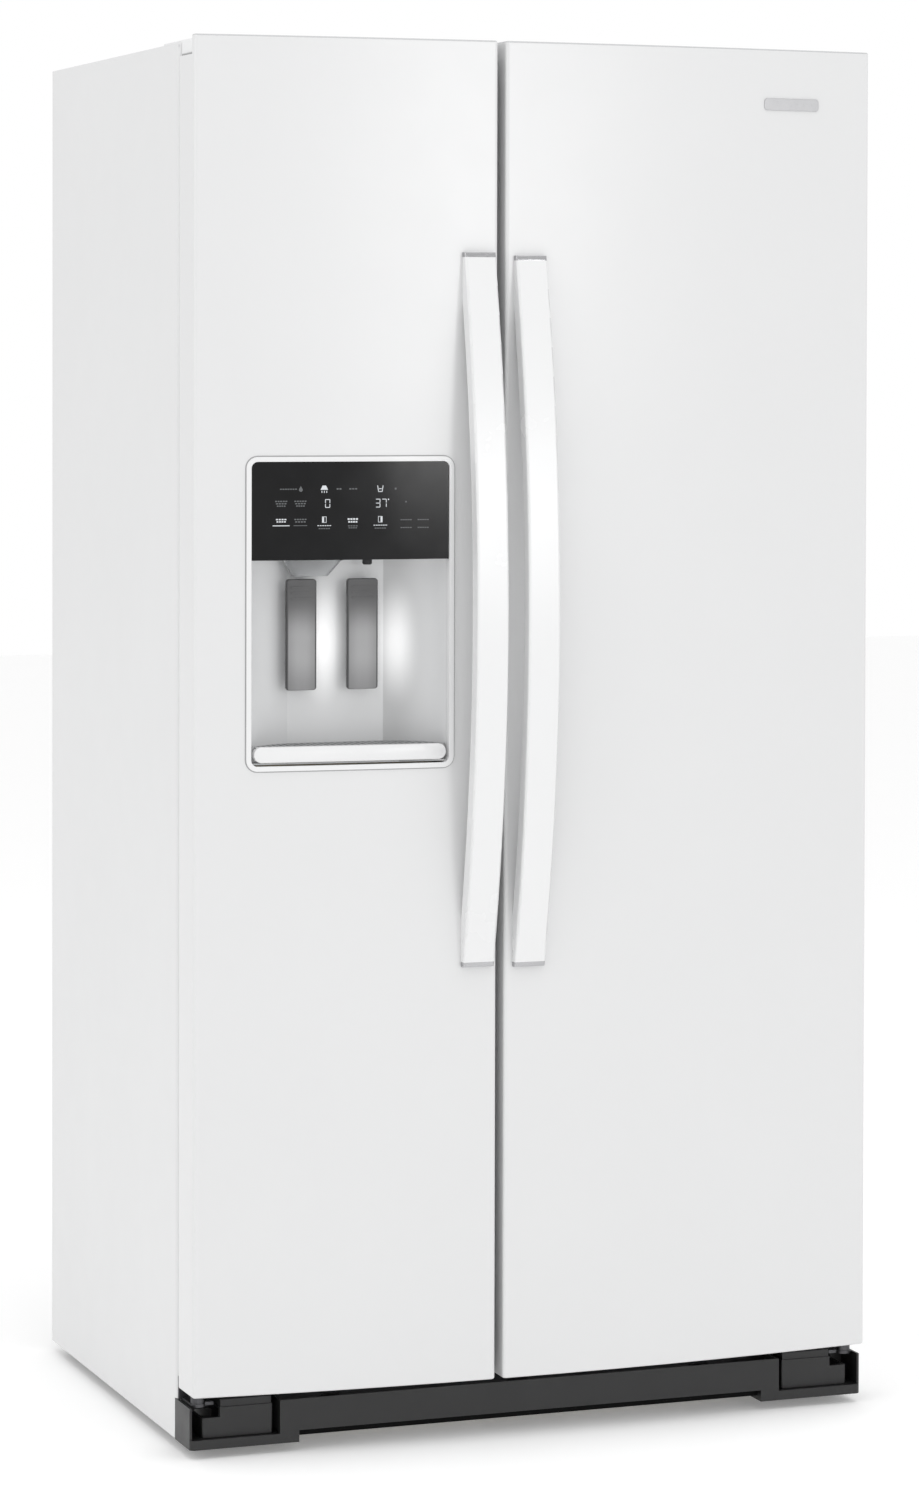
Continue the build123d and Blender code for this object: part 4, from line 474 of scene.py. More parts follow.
LOOK_NODES = {
    "door_enamel": ("freezer_door_panel", "refrigerator_door_panel"),
    "side_enamel": ("side_panels", "top_panel"),
    "handle_enamel": ("freezer_handle", "refrigerator_handle"),
    "handle_metal": ("freezer_handle_ends", "refrigerator_handle_ends"),
    "cover_plastic": ("hinge_covers",),
    "hinge_steel": ("lower_hinges",),
    "bare_steel": ("upper_hinges", "cabinet_screws", "auger"),
    "zinc_sheet": ("back_panel", "machine_cover"),
    "foam": ("cabinet_insulation", "freezer_door_insulation", "refrigerator_door_insulation"),
    "liner_plastic": (
        "freezer_liner", "refrigerator_liner", "evaporator_cover",
        "freezer_door_liner", "refrigerator_door_liner",
    ),
    "seal_rubber": ("freezer_door_gasket", "refrigerator_door_gasket"),
    "white_plastic": (
        "dispenser_bezel", "drip_tray", "refrigerator_shelves",
        "control_housing", "ice_maker", "water_valve",
    ),
    "clear_plastic": (
        "freezer_door_bins", "refrigerator_door_bins", "ice_bin",
        "crisper_drawer_upper", "crisper_drawer_lower",
    ),
    "charcoal_plastic": ("base_grille", "roller_housings"),
    "black_plastic": ("drain_pan", "power_inlet", "water_nozzle"),
    "grey_plastic": ("condenser_fan_motor", "chute_flap"),
    "roller_plastic": (
        "front_rollers", "rear_rollers", "brake_foot_left", "brake_foot_right",
        "condenser_fan", "evaporator_fan",
    ),
    "panel_glass": ("dispenser_panel",),
    "niche_plastic": ("dispenser_niche",),
    "chute_plastic": ("ice_chute",),
    "ice_paddle_plastic": ("ice_paddle",),
    "water_paddle_plastic": ("water_paddle",),
    "coated_wire": ("freezer_shelves", "freezer_basket"),
    "coil_fins": ("evaporator",),
    "black_steel": ("base_frame", "condenser"),
    "compressor_black": ("compressor",),
}
for look_name, node_names in LOOK_NODES.items():
    for node_name in node_names:
        node_mesh = nodes[node_name].data
        node_mesh.materials.clear()
        node_mesh.materials.append(look[look_name])


def second_look(node, look_name, chosen):
    """Gives a second material to the faces of a CAD node whose centre passes the test."""
    mesh = nodes[node].data
    mesh.materials.append(look[look_name])
    index = len(mesh.materials) - 1
    for face in mesh.polygons:
        if chosen(face.center):
            face.material_index = index


# ---------------------------------------------------------------- mesh building blocks
def add_box(bm, low, high):
    """A box between two corners."""
    corners = [
        bm.verts.new((x, y, z))
        for x in (low[0], high[0]) for y in (low[1], high[1]) for z in (low[2], high[2])
    ]
    for ring in ((0, 1, 3, 2), (4, 6, 7, 5), (0, 4, 5, 1), (2, 3, 7, 6), (0, 2, 6, 4), (1, 5, 7, 3)):
        bm.faces.new([corners[i] for i in ring])


def add_prism(bm, front, back):
    """A closed solid between two outlines that have the same number of points."""
    first = [bm.verts.new(p) for p in front]
    second = [bm.verts.new(p) for p in back]
    bm.faces.new(first)
    bm.faces.new(list(reversed(second)))
    count = len(first)
    for i in range(count):
        j = (i + 1) % count
        bm.faces.new((first[j], first[i], second[i], second[j]))


DOME_SIDES = 32


def add_dome(bm, centre, radius, height, direction, rings=5):
    """A low round dome standing on a plane, along +Y or -Y, +Z or -Z."""
    axis = Vector(direction)
    across = Vector((1, 0, 0))
    upright = axis.cross(across)
    layers = []
    for ring in range(rings):
        angle = math.pi / 2 * ring / rings
        reach = radius * math.cos(angle)
        lift = height * math.sin(angle)
        layers.append([
            bm.verts.new(
                Vector(centre) + axis * lift
                + (across * math.cos(a) + upright * math.sin(a)) * reach
            )
            for a in (2 * math.pi * i / DOME_SIDES for i in range(DOME_SIDES))
        ])
    tip = bm.verts.new(Vector(centre) + axis * height)
    for lower, upper in zip(layers, layers[1:]):
        for i in range(DOME_SIDES):
            j = (i + 1) % DOME_SIDES
            bm.faces.new((lower[i], lower[j], upper[j], upper[i]))
    for i in range(DOME_SIDES):
        bm.faces.new((layers[-1][i], layers[-1][(i + 1) % DOME_SIDES], tip))
    bm.faces.new(list(reversed(layers[0])))


def round_edges(piece, width, segments, angle):
    """Rounds the edges that turn by more than an angle, given in degrees."""
    rounding = piece.modifiers.new("edges", "BEVEL")
    rounding.width = width
    rounding.segments = segments
    rounding.limit_method = "ANGLE"
    rounding.angle_limit = math.radians(angle)
    rounding.harden_normals = True


def make_piece(name, bm, look_name, body, edge=0.0, smooth=True):
    """Turns a bmesh into a piece that rides on a body, with its edges rounded."""
    bmesh.ops.recalc_face_normals(bm, faces=bm.faces)
    mesh = bpy.data.meshes.new(name)
    bm.to_mesh(mesh)
    bm.free()
    mesh.materials.append(look[look_name])
    piece = bpy.data.objects.new(name, mesh)
    bpy.context.scene.collection.objects.link(piece)
    if smooth:
        for face in mesh.polygons:
            face.use_smooth = True
    if edge:
        round_edges(piece, edge, segments=3, angle=40)
    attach(piece, body)


# ---------------------------------------------------------------- dispenser's display
MARK_PROUD = 0.12 * MM
MARK_SUNK = 0.05 * MM


def add_mark(bm, outline):
    """A flat mark of (x, z) points laid on the control glass."""
    front = [(x, surface("dispenser_panel", x, z) - MARK_PROUD, z) for x, z in outline]
    back = [(x, y + MARK_PROUD + MARK_SUNK, z) for x, y, z in front]
    add_prism(bm, front, back)


def add_bar(bm, x, z, width, height):
    """An upright rectangle mark centred on (x, z), in metres."""
    add_mark(bm, [
        (x - width / 2, z - height / 2), (x + width / 2, z - height / 2),
        (x + width / 2, z + height / 2), (x - width / 2, z + height / 2),
    ])


SEGMENTS = {"0": "abcdef", "3": "abcdg", "7": "abc"}
DIGIT_HEIGHT = 10.6 * MM
DIGIT_STROKE = 0.9 * MM


def add_digit(bm, digit, x, z, width):
    """A seven-segment digit with its lower left corner at (x, z)."""
    half, end = DIGIT_STROKE / 2, x + width
    side_height = DIGIT_HEIGHT / 2 - 1.3 * DIGIT_STROKE
    across = (width - DIGIT_STROKE, DIGIT_STROKE)
    upright = (DIGIT_STROKE, side_height)
    upper_z, lower_z = z + 0.75 * DIGIT_HEIGHT, z + 0.25 * DIGIT_HEIGHT
    bars = {
        "a": (x + width / 2, z + DIGIT_HEIGHT - half, *across),
        "d": (x + width / 2, z + half, *across),
        "g": (x + width / 2, z + DIGIT_HEIGHT / 2, *across),
        "b": (end - half, upper_z, *upright),
        "f": (x + half, upper_z, *upright),
        "c": (end - half, lower_z, *upright),
        "e": (x + half, lower_z, *upright),
    }
    for segment in SEGMENTS[digit]:
        add_bar(bm, *bars[segment])


ROW_SHARES = (1.0, 0.88, 0.72)
DASH_PITCH = 3.2 * MM
DASH_SHARE = 0.72


def add_label(bm, x, z, width, lines, line_height, gap=1 * MM):
    """Rows of short dashes standing in for a caption, each row a little narrower than the last."""
    for row, share in enumerate(ROW_SHARES[:lines]):
        row_width = width * share
        dashes = max(2, round(row_width / DASH_PITCH))
        step = row_width / dashes
        for dash in range(dashes):
            centre = x - row_width / 2 + (dash + 0.5) * step
            add_bar(bm, centre, z - row * (line_height + gap), step * DASH_SHARE, line_height)


def add_cup(bm, x, z, size):
    """A drinking glass: two slanted sides and a floor."""
    half, foot, stroke = size / 2, size / 3, size * 0.12
    top, bottom = z + half, z - half
    for side in (-1, 1):
        rim_x, foot_x, inward = x + side * half, x + side * foot, -side * stroke
        add_mark(bm, [(rim_x, top), (rim_x + inward, top), (foot_x + inward, bottom), (foot_x, bottom)])
    add_bar(bm, x, z - half + stroke / 2, 2 * foot, stroke)
    add_bar(bm, x, z, 1.2 * foot, stroke)


def add_lamp(bm, x, z, size):
    """A lamp shade with three rays below it."""
    add_mark(bm, [
        (x - size / 2, z - size * 0.1), (x + size / 2, z - size * 0.1),
        (x + size * 0.22, z + size * 0.45), (x - size * 0.22, z + size * 0.45),
    ])
    for ray in (-1, 0, 1):
        add_bar(bm, x + ray * size * 0.32, z - size * 0.36, size * 0.1, size * 0.26)


def add_cabinet_icon(bm, x, z, filled_left):
    """A two-door cabinet with one half filled."""
    width, height, stroke = 5.6 * MM, 7.6 * MM, 0.6 * MM
    for side in (-1, 1):
        add_bar(bm, x + side * (width - stroke) / 2, z, stroke, height)
        add_bar(bm, x, z + side * (height - stroke) / 2, width - 2 * stroke, stroke)
    shift = -width / 4 if filled_left else width / 4
    add_bar(bm, x + shift, z, width / 2 - stroke, height - 2.4 * stroke)


def add_drop(bm, x, z, size):
    """A water drop: three quarters of a circle with a point above it."""
    radius, centre_z, steps = size * 0.34, z - size * 0.12, 13
    points = []
    for step in range(steps + 1):
        angle = math.radians(-225 + 270 * step / steps)
        points.append((x + radius * math.cos(angle), centre_z + radius * math.sin(angle)))
    add_mark(bm, points + [(x, z + size * 0.55)])


# heights of the display's three rows, and the middles of its columns
ROW_TOP = 1187 * MM
ROW_DIGITS = 1164 * MM
ROW_KEYS = 1149 * MM
FIRST, SECOND, ICE, MIDDLE, COLD = -343 * MM, -319 * MM, -289 * MM, -253 * MM, -218 * MM
LAST_PAIR = (-185 * MM, -163 * MM)
CAPTION_Z = ROW_KEYS + 1 * MM


def add_lit_marks(bm):
    """A lamp, a cup, a 0, a 37 with its degree dot, and the captions that are lit."""
    add_lamp(bm, ICE, ROW_TOP, 9.5 * MM)
    add_cup(bm, COLD, ROW_TOP, 8 * MM)
    add_digit(bm, "0", ICE + 1 * MM, ROW_DIGITS, 6.4 * MM)
    add_digit(bm, "3", COLD - 6 * MM, ROW_DIGITS, 6 * MM)
    add_digit(bm, "7", COLD + 2 * MM, ROW_DIGITS, 6 * MM)
    add_bar(bm, COLD + 10.4 * MM, ROW_DIGITS + 9.8 * MM, 1.6 * MM, 1.6 * MM)
    add_cabinet_icon(bm, ICE, ROW_KEYS + 0.5 * MM, True)
    add_cabinet_icon(bm, COLD, ROW_KEYS + 0.5 * MM, False)
    add_label(bm, FIRST, CAPTION_Z, 14 * MM, 2, 1.6 * MM, 1.2 * MM)
    add_bar(bm, FIRST, ROW_KEYS - 6.6 * MM, 21 * MM, 1.1 * MM)
    add_label(bm, MIDDLE, CAPTION_Z, 14 * MM, 2, 2 * MM, 1.4 * MM)
    for x in (ICE, COLD):
        add_label(bm, x, ROW_KEYS - 6.8 * MM, 18 * MM, 1, 1 * MM)


def add_faint_marks(bm):
    """The captions, the drop and the dots that are not lit, though their material gives them a faint painted
    glow.
    """
    for x in (ICE, COLD):
        add_label(bm, x, ROW_KEYS - 10.4 * MM, 15 * MM, 1, 1.2 * MM)
    add_label(bm, MIDDLE, ROW_KEYS - 7.4 * MM, 13 * MM, 2, 1.2 * MM, 1.2 * MM)
    add_label(bm, FIRST + 9 * MM, ROW_TOP, 22 * MM, 1, 1.4 * MM)
    add_drop(bm, SECOND + 0.5 * MM, ROW_TOP, 7 * MM)
    add_label(bm, MIDDLE - 17.5 * MM, ROW_TOP, 7 * MM, 1, 1.8 * MM)
    add_label(bm, MIDDLE + 0.5 * MM, ROW_TOP, 11 * MM, 1, 1.6 * MM)
    add_bar(bm, COLD + 19.5 * MM, ROW_TOP, 2.2 * MM, 2.2 * MM)
    add_bar(bm, COLD + 32.8 * MM, ROW_DIGITS + 6.8 * MM, 1.8 * MM, 1.8 * MM)
    for x in (FIRST, SECOND):
        add_label(bm, x, ROW_DIGITS + 8.2 * MM, 16 * MM, 3, 1.5 * MM, 1.4 * MM)
    add_label(bm, SECOND, CAPTION_Z, 16 * MM, 2, 1.6 * MM, 1.4 * MM)
    add_bar(bm, SECOND, ROW_KEYS - 6.6 * MM, 17 * MM, 0.8 * MM)
    for x in LAST_PAIR:
        add_label(bm, x, ROW_KEYS - 0.4 * MM, 15 * MM, 1, 1.2 * MM)
        add_label(bm, x, ROW_KEYS - 10 * MM, 15 * MM, 1, 1.2 * MM)


def build_display():
    bright = bmesh.new()
    dim = bmesh.new()
    add_lit_marks(bright)
    add_faint_marks(dim)
    make_piece("display_marks_lit", bright, "mark_bright", "freezer_door", smooth=False)
    make_piece("display_marks_faint", dim, "mark_faint_painted_glow", "freezer_door", smooth=False)


build_display()


# ---------------------------------------------------------------- blank badge
CORNER_STEPS = 6


def rounded_outline(x, z, width, height, radius):
    """Points of a rectangle with round corners, centred on (x, z)."""
    points = []
    for corner, (side_x, side_z) in enumerate(((1, 1), (-1, 1), (-1, -1), (1, -1))):
        centre_x = x + side_x * (width / 2 - radius)
        centre_z = z + side_z * (height / 2 - radius)
        for step in range(CORNER_STEPS + 1):
            angle = math.pi / 2 * (corner + step / CORNER_STEPS)
            points.append((centre_x + radius * math.cos(angle), centre_z + radius * math.sin(angle)))
    return points


BADGE_PLACE = (337 * MM, 1670 * MM)
BADGE_SIZE = (78 * MM, 15 * MM)
BADGE_RADIUS = 4 * MM
BADGE_THICKNESS = 1.6 * MM


def build_badge():
    """A plain metal badge with no lettering, near the upper outer corner of the wide door."""
    bm = bmesh.new()
    outline = rounded_outline(*BADGE_PLACE, *BADGE_SIZE, BADGE_RADIUS)
    back = [(x, surface("refrigerator_door_panel", x, z) + 0.1 * MM, z) for x, z in outline]
    front = [(x, y - BADGE_THICKNESS, z) for x, y, z in back]
    add_prism(bm, front, back)
    make_piece("blank_badge", bm, "badge_metal", "refrigerator_door", 0.5 * MM)


build_badge()


# ---------------------------------------------------------------- dispenser's seam
OUTLINE_STEP = 6 * MM


def dense_outline(x, z, width, height, radius):
    """A rounded rectangle with extra points along its sides, so that it can follow a curved face."""
    corners = rounded_outline(x, z, width, height, radius)
    points = []
    for start, end in zip(corners, corners[1:] + corners[:1]):
        parts = max(1, round(math.dist(start, end) / OUTLINE_STEP))
        points += [Vector(start).lerp(Vector(end), part / parts) for part in range(parts)]
    return points


def add_band(bm, outer, inner):
    """A closed solid ring between two loops, each a list of (front point, back point)."""
    loops = [[bm.verts.new(p[side]) for p in loop] for loop in (outer, inner) for side in (0, 1)]
    outer_front, outer_back, inner_front, inner_back = loops
    count = len(outer)
    for i in range(count):
        j = (i + 1) % count
        bm.faces.new((outer_front[i], outer_front[j], inner_front[j], inner_front[i]))
        bm.faces.new((outer_back[j], outer_back[i], inner_back[i], inner_back[j]))
        bm.faces.new((outer_front[j], outer_front[i], outer_back[i], outer_back[j]))
        bm.faces.new((inner_front[i], inner_front[j], inner_back[j], inner_back[i]))


BEZEL_RADIUS = 14 * MM
SEAM_WIDTH = 1.3 * MM
SEAM_OUTSIDE = SEAM_WIDTH + 0.1 * MM
SEAM_PROUD = 0.25 * MM
SEAM_SUNK = 0.2 * MM


def build_seam():
    """The thin dark joint between the door's skin and the dispenser's surround."""
    low, high = span("dispenser_bezel")
    centre = Vector(((low[0] + high[0]) / 2, (low[2] + high[2]) / 2))
    half = Vector(((high[0] - low[0]) / 2, (high[2] - low[2]) / 2))
    width, height = (2 * (h + SEAM_OUTSIDE) for h in half)
    outer, inner = [], []
    for point in dense_outline(*centre, width, height, BEZEL_RADIUS + SEAM_OUTSIDE):
        offset = point - centre
        core = Vector([max(-h + BEZEL_RADIUS, min(h - BEZEL_RADIUS, o)) for h, o in zip(half, offset)])
        inward = (core - offset).normalized() * SEAM_WIDTH
        y = surface("freezer_door_panel", *point)
        for loop, (x, z) in ((outer, point), (inner, point + inward)):
            loop.append(((x, y - SEAM_PROUD, z), (x, y + SEAM_SUNK, z)))
    bm = bmesh.new()
    add_band(bm, outer, inner)
    make_piece("dispenser_seam", bm, "seam_grey", "freezer_door", smooth=False)


build_seam()


# ---------------------------------------------------------------- second looks on CAD pieces
NOTCH_FLOOR_Z = 1715.5 * MM
NOTCH_WALL_X = 376 * MM
NOTCH_WALL_SLACK = 0.6 * MM
# depth of the grey painted shade along each door's top edge
TOP_EDGE_SHADE_DEPTH = 1.9 * MM


def in_notch_wall(centre):
    """The walls inside the doors' upper outer notches, behind the hinge covers, coloured grey as painted
    shade.
    """
    return centre.z > NOTCH_FLOOR_Z and abs(abs(centre.x) - NOTCH_WALL_X) < NOTCH_WALL_SLACK


for door_node in ("freezer_door_panel", "refrigerator_door_panel"):
    top_edge_shade_z = span(door_node)[1][2] - TOP_EDGE_SHADE_DEPTH
    # painted shade: the notch walls are coloured grey
    second_look(door_node, "notch_painted_shade", in_notch_wall)
    # painted shade: a grey line along the top edge of each door
    second_look(door_node, "door_top_edge_shade", lambda centre: centre.z > top_edge_shade_z)

SKIRT_Y = (-266.5 * MM, -262.5 * MM)
SKIRT_TOP_Z = 26.4 * MM
SKIRT_HALF_WIDTH = 310 * MM


def in_skirt(centre):
    """The toe grille's skirt, which stands back and is coloured near black as painted shade."""
    return (
        SKIRT_Y[0] < centre.y < SKIRT_Y[1]
        and centre.z < SKIRT_TOP_Z
        and abs(centre.x) < SKIRT_HALF_WIDTH
    )


# painted shade: the skirt is coloured near black
second_look("base_grille", "skirt_painted_shade", in_skirt)

TRAY_FACE_DEPTH = 8.5 * MM
TRAY_STATIONS = [x * MM for x in range(-370, -139, 10)]
tray_low, tray_high = span("drip_tray")
tray_middle = (tray_low[2] + tray_high[2]) / 2
tray_front = {x: surface("drip_tray", x, tray_middle) for x in TRAY_STATIONS}


def behind_tray_face(centre):
    """The drip tray apart from its bowed white front."""
    nearest = min(tray_front, key=lambda x: abs(x - centre.x))
    return centre.y > tray_front[nearest] + TRAY_FACE_DEPTH


second_look("drip_tray", "tray_grey", behind_tray_face)

SHELF_RIM = 16 * MM
shelf_low, shelf_high = span("refrigerator_shelves")


def shelf_glazing(centre):
    """The glass inside the rim of the refrigerator's shelves."""
    return all(shelf_low[i] + SHELF_RIM < centre[i] < shelf_high[i] - SHELF_RIM for i in (0, 1))


second_look("refrigerator_shelves", "shelf_glass", shelf_glazing)


# ---------------------------------------------------------------- trims, lamps and knobs inside
spaces = {space["name"]: space["box_m"] for space in frame["record"]["physics"]["openings"]}
TRIM_PROUD = 0.8 * MM


def add_trim(name, low, high, look_name, body, edge):
    """A moulded strip between two corners, with rounded edges."""
    bm = bmesh.new()
    add_box(bm, low, high)
    make_piece(name, bm, look_name, body, edge)


BIN_TRIM_HEIGHT = 11 * MM
BIN_TRIM_DEPTH = 3.2 * MM
BIN_TRIM_OVERHANG = 1 * MM


def build_bin_trims():
    """A white strip snapped over the front edge of every door bin."""
    for door in ("freezer", "refrigerator"):
        rear_y = span(door + "_door_bins")[1][1]
        for name, (low, high) in spaces.items():
            if not name.startswith(door + "_bin"):
                continue
            top = high[2] + 2 * MM
            add_trim(
                name + "_trim",
                (low[0] - BIN_TRIM_OVERHANG, rear_y - BIN_TRIM_DEPTH, top - BIN_TRIM_HEIGHT),
                (high[0] + BIN_TRIM_OVERHANG, rear_y + 0.5 * MM, top + TRIM_PROUD),
                "white_plastic", door + "_door", 1.2 * MM,
            )


GLASS_TO_FOOD = 5 * MM
NOSING_HEIGHT = 17 * MM
NOSING_DEPTH = 3.6 * MM
NOSING_END_GAP = 4 * MM


def build_shelf_trims():
    """A rounded nosing along the front of every glass shelf."""
    low, high = span("refrigerator_shelves")
    floors = {round(box[0][2], 4) for name, box in spaces.items() if name.startswith("refrigerator_space")}
    for number, food_z in enumerate(sorted(floors)):
        top = food_z - GLASS_TO_FOOD
        add_trim(
            f"shelf_nosing_{number + 1}",
            (low[0] + NOSING_END_GAP, low[1] - NOSING_DEPTH, top - NOSING_HEIGHT),
            (high[0] - NOSING_END_GAP, low[1] + 1 * MM, top + TRIM_PROUD),
            "white_plastic", "cabinet", 1.6 * MM,
        )


GRIP_END_GAP = 18 * MM
GRIP_HEIGHT = 6.8 * MM
GRIP_DEPTH = 8 * MM


def build_drawer_grips():
    """A full-width rounded grip along the top of each crisper's front."""
    for level in ("upper", "lower"):
        low, high = span("crisper_drawer_" + level)
        front, top = low[1] + 1.5 * MM, high[2] - 0.2 * MM
        add_trim(
            f"crisper_{level}_grip",
            (low[0] + GRIP_END_GAP, front, top - GRIP_HEIGHT),
            (high[0] - GRIP_END_GAP, front + GRIP_DEPTH, top),
            "white_plastic", "crisper_" + level, 1.8 * MM,
        )


LAMP_HALF_WIDTH = 130 * MM
LAMP_REACH = (66 * MM, 56 * MM)
LAMP_LEVELS = (3.4 * MM, 8 * MM)
CEILING_LAMP_RADIUS = 34 * MM
CEILING_LAMP_HEIGHT = 12 * MM
BELOW_CEILING = 300 * MM


def build_lamps():
    """The lamp cover behind the control housing's slots, and the freezer's round ceiling lamp."""
    low, high = span("control_housing")
    middle = (low[0] + high[0]) / 2
    add_trim(
        "refrigerator_lamp_cover",
        (middle - LAMP_HALF_WIDTH, low[1] + LAMP_REACH[0], low[2] + LAMP_LEVELS[0]),
        (middle + LAMP_HALF_WIDTH, high[1] - LAMP_REACH[1], low[2] + LAMP_LEVELS[1]),
        "lamp_lens", "cabinet", 1.5 * MM,
    )
    liner_low, liner_high = span("freezer_liner")
    lamp_x = (liner_low[0] + liner_high[0]) / 2
    ceiling = ceiling_z("freezer_liner", (lamp_x, 0.0, liner_high[2] - BELOW_CEILING))
    lamp_at = (lamp_x, 0.0, ceiling + 0.5 * MM)
    bm = bmesh.new()
    add_dome(bm, lamp_at, CEILING_LAMP_RADIUS, CEILING_LAMP_HEIGHT, (0, 0, -1))
    make_piece("freezer_lamp_cover", bm, "lamp_lens", "cabinet")


DIAL_INSET = 20 * MM
DIAL_RADIUS = 12 * MM
DIAL_HEIGHT = 7 * MM
POINTER_HALVES = (1.4 * MM, 10 * MM)
POINTER_HEIGHT = 9 * MM


def build_knobs():
    """Two temperature dials with pointer ribs, on the front of the control housing."""
    low, high = span("control_housing")
    front, dial_z = low[1], (low[2] + high[2]) / 2
    half_width, half_length = POINTER_HALVES
    for number, x in enumerate((low[0] + DIAL_INSET, high[0] - DIAL_INSET)):
        bm = bmesh.new()
        add_dome(bm, (x, front + 0.2 * MM, dial_z), DIAL_RADIUS, DIAL_HEIGHT, (0, -1, 0), 6)
        add_box(
            bm,
            (x - half_width, front - POINTER_HEIGHT, dial_z - half_length),
            (x + half_width, front, dial_z + half_length),
        )
        name = f"temperature_dial_{number + 1}"
        make_piece(name, bm, "grey_plastic", "cabinet", 0.6 * MM)


BEAD_DEPTH = 1.5 * MM
PLUG_X = 272 * MM
PLUG_HEIGHTS = (520 * MM, 1610 * MM)
PLUG_RADIUS = 14 * MM
PLUG_PROUD = 1.2 * MM
PLATE_HALF_WIDTH = 50 * MM
PLATE_HEIGHTS = (320 * MM, 380 * MM)


def build_back_details():
    """Foam-filling plugs and a plain rating plate on the rear sheet."""
    sheet_y = span("back_panel")[1][1] - BEAD_DEPTH
    corners = [(x, z) for z in PLUG_HEIGHTS for x in (-PLUG_X, PLUG_X)]
    for number, (x, z) in enumerate(corners):
        bm = bmesh.new()
        add_dome(bm, (x, sheet_y - 0.2 * MM, z), PLUG_RADIUS, PLUG_PROUD, (0, 1, 0))
        make_piece(f"filling_plug_{number + 1}", bm, "grey_plastic", "cabinet")
    add_trim(
        "blank_rating_plate",
        (-PLATE_HALF_WIDTH, sheet_y - 0.3 * MM, PLATE_HEIGHTS[0]),
        (PLATE_HALF_WIDTH, sheet_y + 0.5 * MM, PLATE_HEIGHTS[1]),
        "badge_metal", "cabinet", 0.2 * MM,
    )


build_bin_trims()
build_shelf_trims()
build_drawer_grips()
build_lamps()
build_knobs()
build_back_details()

# ---------------------------------------------------------------- rounded edges on moulded CAD pieces
# the width of each piece's edges, in millimetres
EDGE_WIDTH = {
    "base_grille": 0.8, "roller_housings": 0.8, "drip_tray": 0.5, "freezer_basket": 0.8,
    "control_housing": 1.2, "ice_maker": 1.2, "refrigerator_shelves": 1.0, "hinge_covers": 0.4,
    "freezer_handle_ends": 0.5, "refrigerator_handle_ends": 0.5, "evaporator_cover": 0.8,
    "crisper_drawer_upper": 0.8, "crisper_drawer_lower": 0.8, "ice_bin": 0.8,
}
for node_name, width in EDGE_WIDTH.items():
    node = nodes[node_name]
    weld = node.modifiers.new("weld", "WELD")
    weld.merge_threshold = 0.02 * MM
    round_edges(node, width * MM, segments=2, angle=50)


# ---------------------------------------------------------------- studio
FLOOR_HALF = 14.0
FLOOR_GLOW = 0.185
FLOOR_COLOUR = (0.90, 0.90, 0.90)


def add_floor():
    """A plain pale floor with a faint glow of its own, so that it meets the background softly."""
    bm = bmesh.new()
    bmesh.ops.create_grid(bm, x_segments=8, y_segments=8, size=FLOOR_HALF)
    mesh = bpy.data.meshes.new("floor")
    bm.to_mesh(mesh)
    bm.free()
    floor = bpy.data.objects.new("floor", mesh)
    bpy.context.scene.collection.objects.link(floor)
    material = start_material("floor_paper", FLOOR_COLOUR, 0.7)
    mottle(material, FLOOR_COLOUR, 0.004, 3.0)
    shader_of(material).inputs["Emission Color"].default_value = (1.0, 1.0, 1.0, 1.0)
    shader_of(material).inputs["Emission Strength"].default_value = FLOOR_GLOW
    mesh.materials.append(material)


def add_area(name, stand, target, size, power):
    """A rectangular soft light, in watts, that stands at one point and is aimed at another."""
    light = bpy.data.lights.new(name, "AREA")
    light.shape = "RECTANGLE"
    light.size, light.size_y = size
    light.energy = power
    lamp = bpy.data.objects.new(name, light)
    lamp.location = stand
    aim = Vector(target) - Vector(stand)
    lamp.rotation_euler = aim.to_track_quat("-Z", "Y").to_euler()
    bpy.context.scene.collection.objects.link(lamp)


FILL_STRENGTH = 0.86


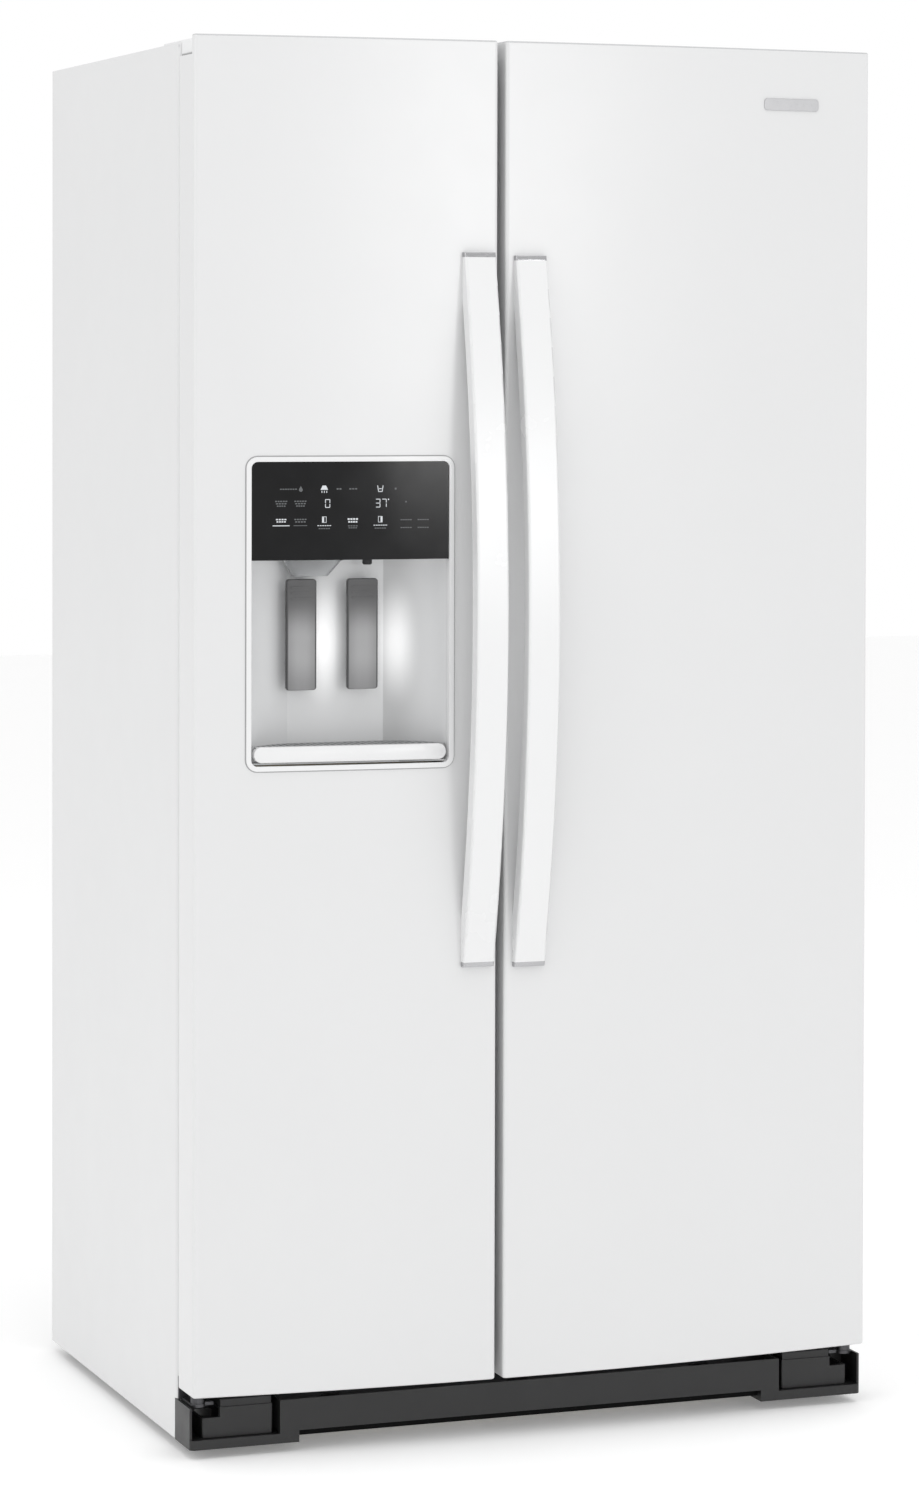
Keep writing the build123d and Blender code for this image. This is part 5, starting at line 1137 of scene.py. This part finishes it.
def add_world():
    """White for the camera, a little dimmer as fill light."""
    world = bpy.data.worlds.new("studio")
    bpy.context.scene.world = world
    world.use_nodes = True
    tree = world.node_tree
    tree.nodes.clear()
    output = tree.nodes.new("ShaderNodeOutputWorld")
    seen = tree.nodes.new("ShaderNodeBackground")
    fill = tree.nodes.new("ShaderNodeBackground")
    mix = tree.nodes.new("ShaderNodeMixShader")
    path = tree.nodes.new("ShaderNodeLightPath")
    seen.inputs["Strength"].default_value = 1.0
    fill.inputs["Strength"].default_value = FILL_STRENGTH
    for background in (seen, fill):
        background.inputs["Color"].default_value = (1.0, 1.0, 1.0, 1.0)
    tree.links.new(path.outputs["Is Camera Ray"], mix.inputs["Fac"])
    tree.links.new(fill.outputs["Background"], mix.inputs[1])
    tree.links.new(seen.outputs["Background"], mix.inputs[2])
    tree.links.new(mix.outputs["Shader"], output.inputs["Surface"])


CAMERA_STAND = (-2.0141, -5.4403, 1.3478)
CAMERA_TURN, CAMERA_TIP, CAMERA_ROLL = 0.3544, 0.0208, 0.0023
CAMERA_LENS = 106.34
CAMERA_SHIFT = -0.2


def add_camera():
    """Stands in front and to the left at chest height, with a long lens and the picture shifted down."""
    data = bpy.data.cameras.new("camera")
    camera = bpy.data.objects.new("camera", data)
    bpy.context.scene.collection.objects.link(camera)
    camera.location = CAMERA_STAND
    camera.rotation_euler = Euler((math.pi / 2 - CAMERA_TIP, -CAMERA_ROLL, -CAMERA_TURN), "XYZ")
    data.sensor_width = 36.0
    data.lens = CAMERA_LENS
    data.shift_y = CAMERA_SHIFT
    data.clip_end = 100.0
    bpy.context.scene.camera = camera


add_floor()
add_world()
add_area("key_right", (1.75, -6.0, 1.7), (-0.1, -0.3, 1.0), (1.15, 1.4), 32.0)
add_area("fill_left", (-4.6, -1.2, 2.4), (-0.4, 0.1, 0.9), (2.6, 2.6), 22.0)
add_area("top", (0.0, -0.8, 4.6), (0.0, 0.0, 0.0), (4.0, 4.0), 45.0)
add_camera()
bpy.context.scene.view_settings.view_transform = "Standard"
